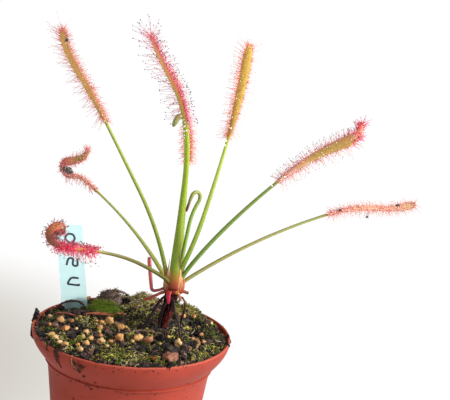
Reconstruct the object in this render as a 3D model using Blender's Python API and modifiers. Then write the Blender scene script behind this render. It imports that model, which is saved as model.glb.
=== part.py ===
"""A sundew rosette on a short bare stem, growing in a small round plastic nursery pot.

Metres, +Z up. The origin is the centre of the pot's underside.
"""

import math

import bmesh
import bpy
from mathutils import Matrix, Vector

MM = 0.001
GAP = 0.3 * MM  # between pieces that touch
ROUTE_STEP = 0.5 * MM  # a leaf's route is worked out in steps of this

# Pot: a thin moulded shell with a flared collar.
POT_HEIGHT = 80 * MM
RIM_RADIUS = 45 * MM
WALL = 1.2 * MM
FLOOR = 1.6 * MM
BASE_RADIUS = 29 * MM
NECK_RADIUS = 37 * MM  # top of the plain body, under the collar
COLLAR_HEIGHT = 15 * MM
LEDGE = 1 * MM  # the small step where the collar meets the body
EDGE = 0.5 * MM  # bevel of the rim and of the foot
FLARE_STEPS = 5
TURNS = 48  # facets round the pot and the mix
HOLE_RADIUS = 3.5 * MM
HOLE_CIRCLE = 20 * MM
HOLES = 6

# Potting mix: level with the rim at its edge, and mounded behind the plant.
MIX_EDGE = POT_HEIGHT - 0.6 * MM
MIX_CROWN = 2.0 * MM
RIDGE = 3.2 * MM
RIDGE_PLACE = Vector((4, 25)) * MM
RIDGE_SIZE = Vector((26, 10)) * MM
MIX_RINGS = 11  # of facets on its top
POCKET_DEPTH = 20 * MM  # of the cutter for the stem's pocket

# Plant: the stem rises off centre and carries the crown that every leaf grows from.
STEM_FOOT = Vector((13.3, 4, 70)) * MM
STEM_SOIL = Vector((13.3, 4, 82)) * MM
CROWN = Vector((17, 2, 99)) * MM
CROWN_TIERS = {"low": (3.6 * MM, 3.0 * MM), "high": (2.4 * MM, 7.0 * MM)}  # radius, height above CROWN
STEM_RADII = (1.75, 2.5, 2.0, 2.2)  # from the foot up, in millimetres
POCKET_RADIUS = 3.0 * MM
CROWN_TURNS = 20

# Leaves: azimuth in degrees from +X, how far it swings on the way to the tip, the lengths of the bare
# stalk and of the tentacled blade in millimetres, how much the stalk swells midway, the length of the
# tentacles along the margin, the roll of the blade about its midrib, and the midrib's rise above the
# horizon at shares of the whole length. A rise past 90 folds the leaf back.
LEAVES = {
    "leaf_upper_left": dict(
        tier="high", azimuth=204, swing=3, stalk=79, blade=44.5, girth=1.0, fringe=7, roll=32,
        rise=[(0, 74), (0.35, 61), (0.7, 56), (1, 66)]),
    "leaf_coiled_left": dict(
        tier="low", azimuth=128, swing=41, stalk=62, blade=40.7, girth=1.0, fringe=3, roll=10,
        rise=[(0, 34), (0.5, 29), (0.66, 28), (0.74, -16), (0.8, 61), (0.86, 170), (0.93, 153), (1, 88)]),
    "leaf_hooked_left": dict(
        tier="low", azimuth=236, swing=-35, stalk=47.7, blade=38.8, girth=1.0, fringe=4, roll=20,
        rise=[(0, 51), (0.3, 23), (0.55, 15), (0.72, 7), (0.82, 40), (0.9, 146), (0.96, 236), (1, 340)]),
    "leaf_top_centre": dict(
        tier="high", azimuth=268, swing=-51, stalk=82.6, blade=35.2, girth=1.6, fringe=8, roll=8,
        rise=[(0, 93), (0.35, 95), (0.65, 65), (0.8, 50), (1, 61)]),
    "leaf_back_centre": dict(
        tier="low", azimuth=82, swing=52, stalk=55.4, blade=43.5, girth=1.0, fringe=4, roll=0,
        rise=[(0, 68), (0.5, 88), (1, 42)]),
    "leaf_top_right": dict(
        tier="high", azimuth=315, swing=20, stalk=74.7, blade=38.7, girth=1.35, fringe=4, roll=-50,
        rise=[(0, 71), (0.3, 73), (0.7, 80), (1, 87)]),
    "leaf_upper_right": dict(
        tier="low", azimuth=332, swing=8, stalk=70.6, blade=47.3, girth=1.6, fringe=5.5, roll=-70,
        rise=[(0, 76), (0.3, 48), (0.6, 48), (0.88, 28), (1, 91)]),
    "leaf_lower_right": dict(
        tier="low", azimuth=23, swing=-22, stalk=75.9, blade=40.1, girth=0.9, fringe=3.5, roll=15,
        rise=[(0, 40), (0.35, 25), (0.65, 21), (0.85, -3), (1, 46)]),
}
STALK_HALF = (1.2 * MM, 0.85 * MM)  # half width and half thickness at the crown
NECK_HALF = (0.8 * MM, 0.6 * MM)  # the same where stalk becomes blade
BLADE_HALF = (2.3 * MM, 0.6 * MM)
TIP_HALF = (0.9 * MM, 0.4 * MM)
BLADE_FULL = 0.3  # share of the blade where it reaches its full width
BLADE_NARROWS = 0.75  # share where it starts to narrow to its tip
ROLL_DONE = 0.6  # share of the whole leaf where the roll is complete
STALK_STEP = 9 * MM
BLADE_STEP = 2.2 * MM
LEAF_SIDES = 8
TENTACLE_FOOT = 0.2 * MM  # half width
TENTACLE_RISE = 0.35  # how far they tip to the upper side, for 1 outward
TENTACLE_SPREAD = 1.2  # how far the end ones fan along the blade
END_TENTACLE = 1.35  # times the fringe
END_SHARE = 0.2  # of the blade, that counts as its end
FOLD_TENTACLE = 1.6 * MM  # inside a fold there is no more room
TIGHT_BEND = 0.8  # radians over four steps

# Young growth: round stalks that follow the same rule, and end in a hook.
SPROUTS = {
    "young_leaf": dict(
        start=(18.8, 3.4, 107.4), azimuth=65, swing=-34, length=51, radii=(0.95, 0.85, 0.65),
        rise=[(0, 80), (0.45, 79), (0.66, 54), (0.72, 98), (0.78, 170), (0.84, 248), (1, 259)]),
    "flower_shoot": dict(
        start=(15.6, 3.9, 107.4), azimuth=213, swing=-5, length=80.5, radii=(0.75, 0.75, 1.25),
        rise=[(0, 102), (0.5, 85), (0.84, 88), (0.9, 38), (0.95, -63), (1, -71)]),
}
SPROUT_STEP = 2.2 * MM
BUD_STARTS = 0.84  # share of the length
BUD_FULL = 0.92
BUD_ROUNDS = 0.95
BUD_END = 0.4  # of its full radius

# Old growth at the crown, as points in millimetres with a half width and half thickness for each.
OLD_GROWTH = {
    "cut_stalk_left": (
        [(12.9, 2.2, 100.7), (9.9, 2.2, 99.3), (7.5, 2.1, 99.2), (6.6, 2.6, 102), (5.6, 3.3, 108),
         (4.6, 4, 114)],
        [(0.9, 0.7), (0.9, 0.7), (0.8, 0.7), (0.8, 0.6), (0.85, 0.65), (0.85, 0.65)]),
    "dry_stub_left": (
        [(13.5, 0.1, 99.9), (9.5, -1.6, 98.2), (6.9, -2.4, 96.8), (4.7, -3, 95.7)],
        [(0.9, 0.6), (0.8, 0.5), (0.6, 0.4), (0.4, 0.3)]),
    "dry_stub_right": (
        [(21.1, 1.3, 100.5), (22.8, 1.1, 100.1), (24, 1, 99.8)],
        [(0.8, 0.7), (0.75, 0.65), (0.7, 0.6)]),
    "dry_stub_front": (
        [(18.5, -2.1, 100.6), (19.5, -3.3, 100.4), (20.4, -4.1, 99), (21, -4.2, 97)],
        [(0.8, 0.6), (0.8, 0.6), (0.7, 0.5), (0.6, 0.5)]),
    "red_stipule": (
        [(15.6, -2.2, 101.2), (15.1, -3.2, 99.6), (15.3, -3.7, 97.6), (15.5, -3.8, 95.4)],
        [(1.1, 0.5), (1.2, 0.5), (1.0, 0.45), (0.5, 0.3)]),
    "dead_leaf_left": (
        [(13.9, 0.5, 97.6), (11.4, -1, 95.4), (9.2, -3, 91), (7, -5, 86.6), (4.2, -6, 82.2)],
        [(0.7, 0.4), (1.0, 0.4), (1.2, 0.4), (1.2, 0.4), (0.7, 0.3)]),
    "dead_leaf_front": (
        [(15.4, -0.8, 97.2), (13.7, -1.2, 93), (12.6, -1.7, 88), (12.2, -3, 83)],
        [(0.9, 0.4), (1.3, 0.4), (1.3, 0.4), (0.8, 0.4)]),
    "dead_leaf_right": (
        [(19.5, 1.9, 97.6), (21.9, 1.9, 96.4), (22.9, 2.2, 92.4), (22.2, 3, 87.4), (21.2, 3.6, 82.6)],
        [(0.7, 0.4), (0.9, 0.4), (1.0, 0.4), (1.0, 0.4), (0.7, 0.3)]),
    "aerial_root": (
        [(17.6, -1.0, 97), (18.9, -4, 92), (21.3, -7, 86.8), (22.5, -9.6, 82.2)],
        [(0.45, 0.45), (0.45, 0.45), (0.4, 0.4), (0.35, 0.35)]),
}

# Litter on the mix, laid along the same kind of route at these heights above the mix.
LITTER = {
    "dry_leaf_arched": (
        [(-37.4, 15, 0.7), (-35, 15, 3.8), (-30.5, 14.8, 5.2), (-26.3, 14.4, 4.8), (-23.4, 13.6, 2.4)],
        [(0.6, 0.3), (0.8, 0.3), (1.1, 0.3), (1.0, 0.3), (0.4, 0.3)]),
    "dry_strip_left": (
        [(-36.5, 6.4, 1.0), (-33, 5.4, 1.3), (-29, 4, 1.2), (-25.6, 2.8, 0.9)],
        [(0.5, 0.3), (0.8, 0.3), (0.8, 0.3), (0.4, 0.3)]),
    "dry_strip_middle": (
        [(-22.5, 6.8, 0.9), (-18, 6.2, 1.2), (-13.5, 5.2, 1.2), (-9, 5, 1.0)],
        [(0.5, 0.3), (1.0, 0.35), (1.0, 0.35), (0.5, 0.3)]),
    "twig_front": (
        [(9.5, -9.5, 0.8), (11, -16, 1.1), (13.5, -24, 1.0), (15.6, -28.4, 0.8)],
        [(0.4, 0.4), (0.4, 0.4), (0.35, 0.35), (0.3, 0.3)]),
}

# Moss cushions: centre, half length, half width, turn in degrees and height, in millimetres.
MOSS = {
    "moss_cushion_left": (-14, 13.2, 8, 4.4, -25, 3.4),
    "moss_cushion_dark": (-12, 25.5, 7.2, 6, 0, 5.8),
    "moss_cushion_back": (2.6, 27, 6.2, 8, 0, 4.2),
    "moss_cushion_right": (21.5, 25.5, 8, 7, -20, 3.6),
    "moss_patch_side": (35, 2, 4.6, 9.5, 5, 2.0),
    "moss_patch_front": (-3, -34, 9, 4.2, 0, 1.8),
}
MOSS_LUMPS = 0.22  # how much the dome's height varies
MOSS_SKIRT = 0.25 * MM  # its thickness at the edge
MOSS_GAP = 0.45 * MM  # under it, clear of the mix's facets

# Loose grit: centre, half length and half height, in millimetres.
GRIT = [
    (-32, -3, 1.9, 1.6), (-31, -24, 1.7, 1.4), (-28.5, -13.5, 1.7, 1.4), (-17, -29, 1.7, 1.5),
    (-19, -16, 1.5, 1.3), (-13.5, -10, 1.6, 1.3), (-10.4, -1, 2.1, 1.8), (-11, -25, 1.7, 1.5),
    (-3.5, -20.5, 2.1, 1.7), (4.5, -18, 2.1, 1.8), (22, -17.5, 1.9, 1.6), (-4.5, -6.5, 1.6, 1.3),
]
BARK_LUMP = (19.5, -31.5, 3.6, 2.4)

# Label: a plain strip with a pointed foot, pushed into the mix and leaning left.
LABEL_FOOT = Vector((-28.6, 17, 81)) * MM
LABEL_WIDTH = 12 * MM
LABEL_THICKNESS = 0.6 * MM
LABEL_ABOVE = 40.5 * MM
LABEL_SHOULDER = 9 * MM  # below LABEL_FOOT, where the point begins
LABEL_BELOW = 24 * MM
LABEL_POINT = 2 * MM
LABEL_LEAN = math.radians(8)

# Trapped gnats: leaf, share of the whole length, side of the blade, radius in millimetres.
GNATS = [
    ("leaf_coiled_left", 0.815, 1, 1.2),
    ("leaf_upper_left", 0.955, 1, 0.7),
    ("leaf_hooked_left", 0.69, 1, 0.9),
    ("leaf_lower_right", 0.70, 1, 0.8),
    ("leaf_lower_right", 0.80, -1, 0.8),
]


def clear_scene():
    for obj in list(bpy.data.objects):
        bpy.data.objects.remove(obj, do_unlink=True)


def new_collection(name, hidden=False):
    collection = bpy.data.collections.new(name)
    collection.hide_render = hidden
    bpy.context.scene.collection.children.link(collection)
    return collection


def finish_material(name, colour, roughness, metallic=0.0):
    material = bpy.data.materials.new(name)
    material.use_nodes = True
    shader = material.node_tree.nodes["Principled BSDF"]
    shader.inputs["Base Color"].default_value = (*colour, 1)
    shader.inputs["Roughness"].default_value = roughness
    shader.inputs["Metallic"].default_value = metallic
    return material


def add_object(name, mesh, material, collection):
    obj = bpy.data.objects.new(name, mesh)
    mesh.materials.append(material)
    mesh.shade_smooth()
    mesh.set_sharp_from_angle(angle=math.radians(40))
    collection.objects.link(obj)
    return obj


def mesh_of(bm, name):
    bmesh.ops.recalc_face_normals(bm, faces=bm.faces)
    mesh = bpy.data.meshes.new(name)
    bm.to_mesh(mesh)
    bm.free()
    return mesh


def evaluated_mesh(obj):
    graph = bpy.context.evaluated_depsgraph_get()
    return bpy.data.meshes.new_from_object(obj.evaluated_get(graph))


def turned_mesh(name, profile, turns):
    """A profile of (radius, height) points, run down its outer side, turned round Z."""
    mesh = bpy.data.meshes.new(name)
    edges = [(i, i + 1) for i in range(len(profile) - 1)]
    mesh.from_pydata([(r, 0, z) for r, z in profile], edges, [])
    obj = bpy.data.objects.new(name, mesh)
    bpy.context.scene.collection.objects.link(obj)
    screw = obj.modifiers.new("turn", "SCREW")
    screw.steps = screw.render_steps = turns
    screw.use_merge_vertices = True
    screw.merge_threshold = 0.00005
    bpy.context.view_layer.update()
    turned = evaluated_mesh(obj)
    bpy.data.objects.remove(obj)
    return turned


def cut(obj, cutter):
    boolean = obj.modifiers.new("cut " + cutter.name, "BOOLEAN")
    boolean.operation = "DIFFERENCE"
    boolean.solver = "EXACT"
    boolean.object = cutter


def eased(low, high, share):
    """Runs from low to high with a soft start and end."""
    share = min(1.0, max(0.0, share))
    return low + (high - low) * share * share * (3 - 2 * share)


def read_keys(keys, share):
    """The value at a share of the way along, on straight lines between keys."""
    for (start, first), (end, last) in zip(keys, keys[1:]):
        if share <= end:
            return first + (last - first) * (share - start) / (end - start)
    return keys[-1][1]


# ---- routes and sweeps ----


def grown_route(start, spec, lengths):
    """Stations (point, along, across, up) at these lengths from start, where azimuth and rise follow spec."""
    total = lengths[-1]
    stations = []
    point = Vector(start)
    travelled = 0.0
    for target in lengths:
        while True:
            share = travelled / total
            azimuth = math.radians(spec["azimuth"] + spec["swing"] * share)
            rise = math.radians(read_keys(spec["rise"], share))
            along = Vector((
                math.cos(rise) * math.cos(azimuth), math.cos(rise) * math.sin(azimuth), math.sin(rise)))
            step = min(ROUTE_STEP, target - travelled)
            if step <= 1e-9:
                break
            point = point + along * step
            travelled += step
        across = Vector((-math.sin(azimuth), math.cos(azimuth), 0))
        up = Vector((
            -math.sin(rise) * math.cos(azimuth), -math.sin(rise) * math.sin(azimuth), math.cos(rise)))
        stations.append((point.copy(), along, across, up))
    return stations


def laid_route(points, count):
    """Stations on a smooth curve through the points, with their widths held level."""
    stations = []
    last = len(points) - 1
    for i in range(count + 1):
        whole = i / count * last
        k = min(int(whole), last - 1)
        t = whole - k
        p0, p1, p2, p3 = (points[min(max(k + j, 0), last)] for j in (-1, 0, 1, 2))
        a = 2 * p1
        b = p2 - p0
        c = 2 * p0 - 5 * p1 + 4 * p2 - p3
        d = 3 * p1 - p0 - 3 * p2 + p3
        point = (a + b * t + c * t * t + d * t ** 3) / 2
        along = ((b + 2 * c * t + 3 * d * t * t) / 2).normalized()
        stations.append((point, along, whole))
    framed = []
    across = Vector((0, 0, 1)).cross(stations[0][1])
    if across.length < 0.1:
        across = Vector((1, 0, 0))
    for point, along, whole in stations:
        across = (across - along * across.dot(along)).normalized()
        framed.append((point, along, across, along.cross(across), whole))
    return framed


def sweep(sections, sides):
    """A closed tube through sections of (centre, half width vector, half thickness vector)."""
    bm = bmesh.new()
    turn = bm.verts.layers.int.new("turn")
    ring = bmesh.ops.create_circle(bm, radius=MM, segments=sides)["verts"]
    for k, vert in enumerate(ring):
        vert[turn] = k
    edges = list(bm.edges)
    rings = []
    for i, (centre, across, through) in enumerate(sections):
        if i:
            grown = bmesh.ops.extrude_edge_only(bm, edges=edges)["geom"]
            ring = [g for g in grown if isinstance(g, bmesh.types.BMVert)]
            edges = [g for g in grown if isinstance(g, bmesh.types.BMEdge)
                     and all(v in ring for v in g.verts)]
        for vert in ring:
            angle = math.tau * (vert[turn] + 0.5) / sides
            vert.co = centre + across * math.cos(angle) + through * math.sin(angle)
        rings.append(sorted(ring, key=lambda v: v[turn]))
    bm.faces.new(rings[0])
    bm.faces.new(rings[-1])
    bmesh.ops.recalc_face_normals(bm, faces=bm.faces)
    return bm, rings


# ---- leaves ----


def leaf_lengths(spec):
    stalk = spec["stalk"] * MM
    blade = spec["blade"] * MM
    stalk_steps = round(stalk / STALK_STEP)
    blade_steps = round(blade / BLADE_STEP)
    lengths = [stalk * i / stalk_steps for i in range(stalk_steps)]
    lengths += [stalk + blade * i / blade_steps for i in range(blade_steps + 1)]
    return lengths, stalk_steps


def leaf_start(spec):
    radius, height = CROWN_TIERS[spec["tier"]]
    azimuth = math.radians(spec["azimuth"])
    first_rise = math.radians(spec["rise"][0][1])
    clear = radius + GAP + STALK_HALF[1] * abs(math.sin(first_rise))
    return CROWN + Vector((clear * math.cos(azimuth), clear * math.sin(azimuth), height))


def half_sizes(length, spec):
    """Half width and half thickness of a leaf at a length from the crown."""
    stalk = spec["stalk"] * MM
    if length < stalk:
        share = length / stalk
        swell = 1 + (spec["girth"] - 1) * math.sin(math.pi * share)
        return [swell * eased(a, b, share) for a, b in zip(STALK_HALF, NECK_HALF)]
    share = (length - stalk) / (spec["blade"] * MM)
    if share < BLADE_FULL:
        return [eased(a, b, share / BLADE_FULL) for a, b in zip(NECK_HALF, BLADE_HALF)]
    narrowed = (share - BLADE_NARROWS) / (1 - BLADE_NARROWS)
    return [eased(a, b, narrowed) for a, b in zip(BLADE_HALF, TIP_HALF)]


def leaf_route(spec):
    """Stations of a leaf with the blade's roll worked in, as (point, along, across, up, length)."""
    lengths, _ = leaf_lengths(spec)
    total = lengths[-1]
    rolled = []
    for length, (point, along, across, up) in zip(lengths, grown_route(leaf_start(spec), spec, lengths)):
        roll = math.radians(spec["roll"]) * eased(0, 1, length / total / ROLL_DONE)
        turn = Matrix.Rotation(roll, 3, along)
        rolled.append((point, along, turn @ across, turn @ up, length))
    return rolled


def tentacle_length(station, spec, stations):
    """Long at the blade's two ends, short inside a fold."""
    blade_share = (station[4] - spec["stalk"] * MM) / (spec["blade"] * MM)
    from_end = min(blade_share, 1 - blade_share)
    length = eased(END_TENTACLE, 1, from_end / END_SHARE) * spec["fringe"] * MM
    i = stations.index(station)
    before, after = stations[max(i - 2, 0)], stations[min(i + 2, len(stations) - 1)]
    bend = before[1].angle(after[1])
    return eased(length, min(length, FOLD_TENTACLE), bend / TIGHT_BEND)


def grow_tentacle(bm, face, foot, along, out, length):
    """Draws the middle of one face out into a thin spike."""
    bmesh.ops.inset_individual(bm, faces=[face], thickness=0.02 * MM, use_even_offset=True)
    side = out.cross(along).normalized()
    corners = sorted(face.verts, key=lambda v: math.atan2((v.co - foot).dot(side), (v.co - foot).dot(along)))
    for vert in corners:
        offset = vert.co - foot
        vert.co = (foot + along * math.copysign(TENTACLE_FOOT, offset.dot(along))
                   + side * math.copysign(min(TENTACLE_FOOT, abs(offset.dot(side))), offset.dot(side)))
    drawn = bmesh.ops.extrude_discrete_faces(bm, faces=[face])["faces"][0]
    bmesh.ops.pointmerge(bm, verts=list(drawn.verts), merge_co=foot + out * length)


def make_leaf(name, spec, material, collection):
    stations = leaf_route(spec)
    sections = []
    for point, _, across, up, length in stations:
        half_width, half_thickness = half_sizes(length, spec)
        sections.append((point, across * half_width, up * half_thickness))
    bm, rings = sweep(sections, LEAF_SIDES)
    _, stalk_steps = leaf_lengths(spec)
    margins = ((LEAF_SIDES - 1, 0, 1), (LEAF_SIDES // 2 - 1, LEAF_SIDES // 2, -1))
    for i in range(stalk_steps, len(stations) - 1):
        along, across, up = stations[i][1:4]
        length = tentacle_length(stations[i], spec, stations)
        for low, high, side in margins:
            corners = {rings[i][low], rings[i][high], rings[i + 1][low], rings[i + 1][high]}
            face = next(f for f in rings[i][low].link_faces if set(f.verts) == corners)
            foot = face.calc_center_median()
            lean = (i - stalk_steps) / (len(stations) - stalk_steps) - 0.5
            out = (across * side + up * TENTACLE_RISE + along * lean * TENTACLE_SPREAD).normalized()
            grow_tentacle(bm, face, foot, along, out, length)
    return add_object(name, mesh_of(bm, name), material, collection)


def make_sprout(name, spec, material, collection):
    total = spec["length"] * MM
    steps = round(total / SPROUT_STEP)
    lengths = [total * i / steps for i in range(steps + 1)]
    route = grown_route(Vector(spec["start"]) * MM, spec, lengths)
    foot, middle, tip = spec["radii"]
    sections = []
    for length, (point, _, across, up) in zip(lengths, route):
        share = length / total
        radius = eased(foot, middle, share * 2)
        if share > BUD_STARTS:
            radius = eased(middle, tip, (share - BUD_STARTS) / (BUD_FULL - BUD_STARTS))
        if share > BUD_ROUNDS:
            radius *= max(BUD_END, math.sqrt((1 - share) / (1 - BUD_ROUNDS)))
        sections.append((point, across * radius * MM, up * radius * MM))
    bm, _ = sweep(sections, LEAF_SIDES)
    return add_object(name, mesh_of(bm, name), material, collection)


def make_strip(name, points, halves, material, collection, steps_per_span=3, sides=6):
    """A stalk, root or dry leaf through points given in metres, with half sizes in millimetres."""
    route = laid_route(points, (len(points) - 1) * steps_per_span)
    widths = [(k, half[0]) for k, half in enumerate(halves)]
    depths = [(k, half[1]) for k, half in enumerate(halves)]
    sections = []
    for point, _, across, up, whole in route:
        sections.append((
            point, across * read_keys(widths, whole) * MM, up * read_keys(depths, whole) * MM))
    bm, _ = sweep(sections, sides)
    return add_object(name, mesh_of(bm, name), material, collection)


def make_stem(material, collection):
    top = CROWN - Vector((0, 0, 3 * GAP))
    points = [STEM_FOOT, STEM_SOIL, STEM_SOIL.lerp(top, 0.5), top]
    return make_strip("stem", points, [(r, r) for r in STEM_RADII], material, collection, sides=10)


def make_crown(material, collection):
    low_radius = CROWN_TIERS["low"][0]
    high_radius = CROWN_TIERS["high"][0]
    profile = [(0, 8.1 * MM), (0.6 * high_radius, 8.0 * MM), (0.9 * high_radius, 7.6 * MM),
               (high_radius, 6.4 * MM), (low_radius, 4.2 * MM), (low_radius, 2.0 * MM),
               (0.9 * low_radius, 0.8 * MM), (0.6 * low_radius, 0.1 * MM), (0, 0)]
    mesh = turned_mesh("crown", profile, CROWN_TURNS)
    mesh.transform(Matrix.Translation(CROWN))
    return add_object("crown", mesh, material, collection)


# ---- pot, mix and what lies on it ----


def pot_outline():
    """The outer side, from rim to base, as (radius, height). The collar flares in a quarter wave."""
    neck = POT_HEIGHT - COLLAR_HEIGHT
    ledge_radius = NECK_RADIUS + LEDGE
    lowest = neck + LEDGE
    flare = []
    for k in range(FLARE_STEPS + 1):
        share = 1 - k / FLARE_STEPS
        radius = ledge_radius + (RIM_RADIUS - ledge_radius) * math.sin(math.pi / 2 * share)
        flare.append((radius, lowest + (POT_HEIGHT - EDGE - lowest) * share))
    foot = [(NECK_RADIUS, neck), (BASE_RADIUS, EDGE), (BASE_RADIUS - EDGE, 0)]
    return [(RIM_RADIUS - EDGE, POT_HEIGHT)] + flare + foot


def pot_lining():
    """The inner side, from floor to rim, one wall inside the outline."""
    inner = [(radius - WALL, height) for radius, height in pot_outline()[1:-2]]
    return [(0, FLOOR), (BASE_RADIUS - WALL, FLOOR)] + inner[::-1] + [(RIM_RADIUS - WALL, POT_HEIGHT)]


def inner_radius(height):
    lining = pot_lining()[1:]
    for (r0, z0), (r1, z1) in zip(lining, lining[1:]):
        if height <= z1:
            return r0 + (r1 - r0) * (height - z0) / (z1 - z0)
    return lining[-1][0]


def make_pot(material, collection, cutters):
    profile = pot_lining() + pot_outline() + [(0, 0)]
    pot = add_object("pot", turned_mesh("pot", profile, TURNS), material, collection)
    bm = bmesh.new()
    for k in range(HOLES):
        angle = math.tau * k / HOLES
        place = Matrix.Translation((HOLE_CIRCLE * math.cos(angle), HOLE_CIRCLE * math.sin(angle), 0))
        bmesh.ops.create_cone(
            bm, cap_ends=True, segments=12, radius1=HOLE_RADIUS, radius2=HOLE_RADIUS,
            depth=4 * FLOOR, matrix=place)
    cutter = add_object("drain_cutter", mesh_of(bm, "drain_cutter"), material, cutters)
    cutter.hide_render = True
    cutter.display_type = "WIRE"
    cut(pot, cutter)
    return pot


def mix_height(x, y):
    """Height of the potting mix at a place, in metres."""
    out = math.hypot(x, y) / inner_radius(MIX_EDGE)
    dome = MIX_CROWN * (1 - out * out)
    ridge = RIDGE * math.exp(
        -((x - RIDGE_PLACE.x) / RIDGE_SIZE.x) ** 2 - ((y - RIDGE_PLACE.y) / RIDGE_SIZE.y) ** 2)
    ripple = 0.25 * MM * math.sin(x / (4.1 * MM)) * math.cos(y / (4.7 * MM)) * (1 - out)
    return MIX_EDGE + dome + ridge + ripple


def rest_height(x, y, half_length, half_height):
    """Height of the centre of a round lump set down on the mix."""
    highest = 0
    for ring in range(5):
        reach = ring / 4
        for k in range(12):
            angle = math.tau * k / 12
            under = half_height * math.sqrt(1 - reach * reach)
            dx = half_length * reach * math.cos(angle)
            dy = half_length * reach * math.sin(angle)
            highest = max(highest, mix_height(x + dx, y + dy) + under)
    return highest + GAP


def make_mix(material, collection, cutters):
    clear = GAP + 0.1 * MM
    edge_radius = inner_radius(MIX_EDGE) - clear
    profile = [(edge_radius * k / MIX_RINGS, MIX_EDGE) for k in range(MIX_RINGS + 1)]
    for radius, height in pot_lining()[:1:-1]:
        if height < MIX_EDGE:
            profile.append((radius - clear, height))
    profile += [(BASE_RADIUS - WALL - clear, FLOOR + clear), (0, FLOOR + clear)]
    mesh = turned_mesh("potting_mix", profile, TURNS)
    for vert in mesh.vertices:
        if vert.co.z > MIX_EDGE - 0.01 * MM:
            vert.co.z = mix_height(vert.co.x, vert.co.y)
    mix = add_object("potting_mix", mesh, material, collection)
    bm = bmesh.new()
    middle = STEM_FOOT + Vector((0, 0, POCKET_DEPTH / 2 - GAP))
    bmesh.ops.create_cone(
        bm, cap_ends=True, segments=16, radius1=POCKET_RADIUS, radius2=POCKET_RADIUS,
        depth=POCKET_DEPTH, matrix=Matrix.Translation(middle))
    pocket = add_object("stem_pocket", mesh_of(bm, "stem_pocket"), material, cutters)
    slot = add_object("label_slot", label_mesh("label_slot", GAP), material, cutters)
    for cutter in (pocket, slot):
        cutter.hide_render = True
        cutter.display_type = "WIRE"
        cut(mix, cutter)
    return mix


def label_mesh(name, grow=0.0):
    """The label's plate, or with grow the slightly larger slot that it stands in."""
    half = LABEL_WIDTH / 2 + grow
    point = LABEL_POINT / 2 + grow
    outline = [(-half, LABEL_ABOVE), (half, LABEL_ABOVE), (half, -LABEL_SHOULDER),
               (point, -LABEL_BELOW - grow), (-point, -LABEL_BELOW - grow), (-half, -LABEL_SHOULDER)]
    bm = bmesh.new()
    front = -LABEL_THICKNESS / 2 - grow
    face = bm.faces.new([bm.verts.new((x, front, z)) for x, z in outline])
    drawn = bmesh.ops.extrude_face_region(bm, geom=[face])["geom"]
    moved = [g for g in drawn if isinstance(g, bmesh.types.BMVert)]
    bmesh.ops.translate(bm, verts=moved, vec=(0, LABEL_THICKNESS + 2 * grow, 0))
    lean = Matrix.Translation(LABEL_FOOT) @ Matrix.Rotation(-LABEL_LEAN, 4, "Y")
    bmesh.ops.transform(bm, matrix=lean, verts=bm.verts)
    return mesh_of(bm, name)


def make_cushion(name, place, material, collection):
    """A moss cushion: a lumpy domed disc whose underside follows the mix."""
    x, y, half_length, half_width, turn, height = place
    cos, sin = math.cos(math.radians(turn)), math.sin(math.radians(turn))
    bm = bmesh.new()
    bmesh.ops.create_icosphere(bm, subdivisions=3, radius=1)
    for vert in bm.verts:
        u, v, w = vert.co
        tuft = 1 + MOSS_LUMPS * math.sin(4.3 * u + x) * math.sin(5.1 * v + y)
        px = (x + half_length * u * cos - half_width * v * sin) * MM
        py = (y + half_length * u * sin + half_width * v * cos) * MM
        skirt = MOSS_SKIRT * max(0, w + 0.3)
        vert.co = (px, py, mix_height(px, py) + MOSS_GAP + skirt + max(0, w) * height * tuft * MM)
    return add_object(name, mesh_of(bm, name), material, collection)


def make_lump(name, x, y, half_length, half_height, turn, material, collection):
    """A grain or lump set down on the mix."""
    bm = bmesh.new()
    bmesh.ops.create_icosphere(bm, subdivisions=2, radius=1)
    squash = Matrix.Diagonal((half_length * MM, half_length * 0.82 * MM, half_height * MM, 1))
    centre = Vector((x * MM, y * MM, rest_height(x * MM, y * MM, half_length * MM, half_height * MM)))
    place = Matrix.Translation(centre) @ Matrix.Rotation(turn, 4, "Z") @ squash
    bmesh.ops.transform(bm, matrix=place, verts=bm.verts)
    return add_object(name, mesh_of(bm, name), material, collection)


def make_gnat(name, leaf, share, side, radius, material, collection):
    """A small round body held just off the blade, on its upper side or its margin."""
    spec = LEAVES[leaf]
    length = (spec["stalk"] + spec["blade"]) * share * MM
    station = min(leaf_route(spec), key=lambda s: abs(s[4] - length))
    point, _, _, up, at = station
    thickness = half_sizes(at, spec)[1]
    centre = point + up * side * (thickness + radius * MM + GAP)
    bm = bmesh.new()
    bmesh.ops.create_icosphere(bm, subdivisions=2, radius=radius * MM, matrix=Matrix.Translation(centre))
    return add_object(name, mesh_of(bm, name), material, collection)


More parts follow.
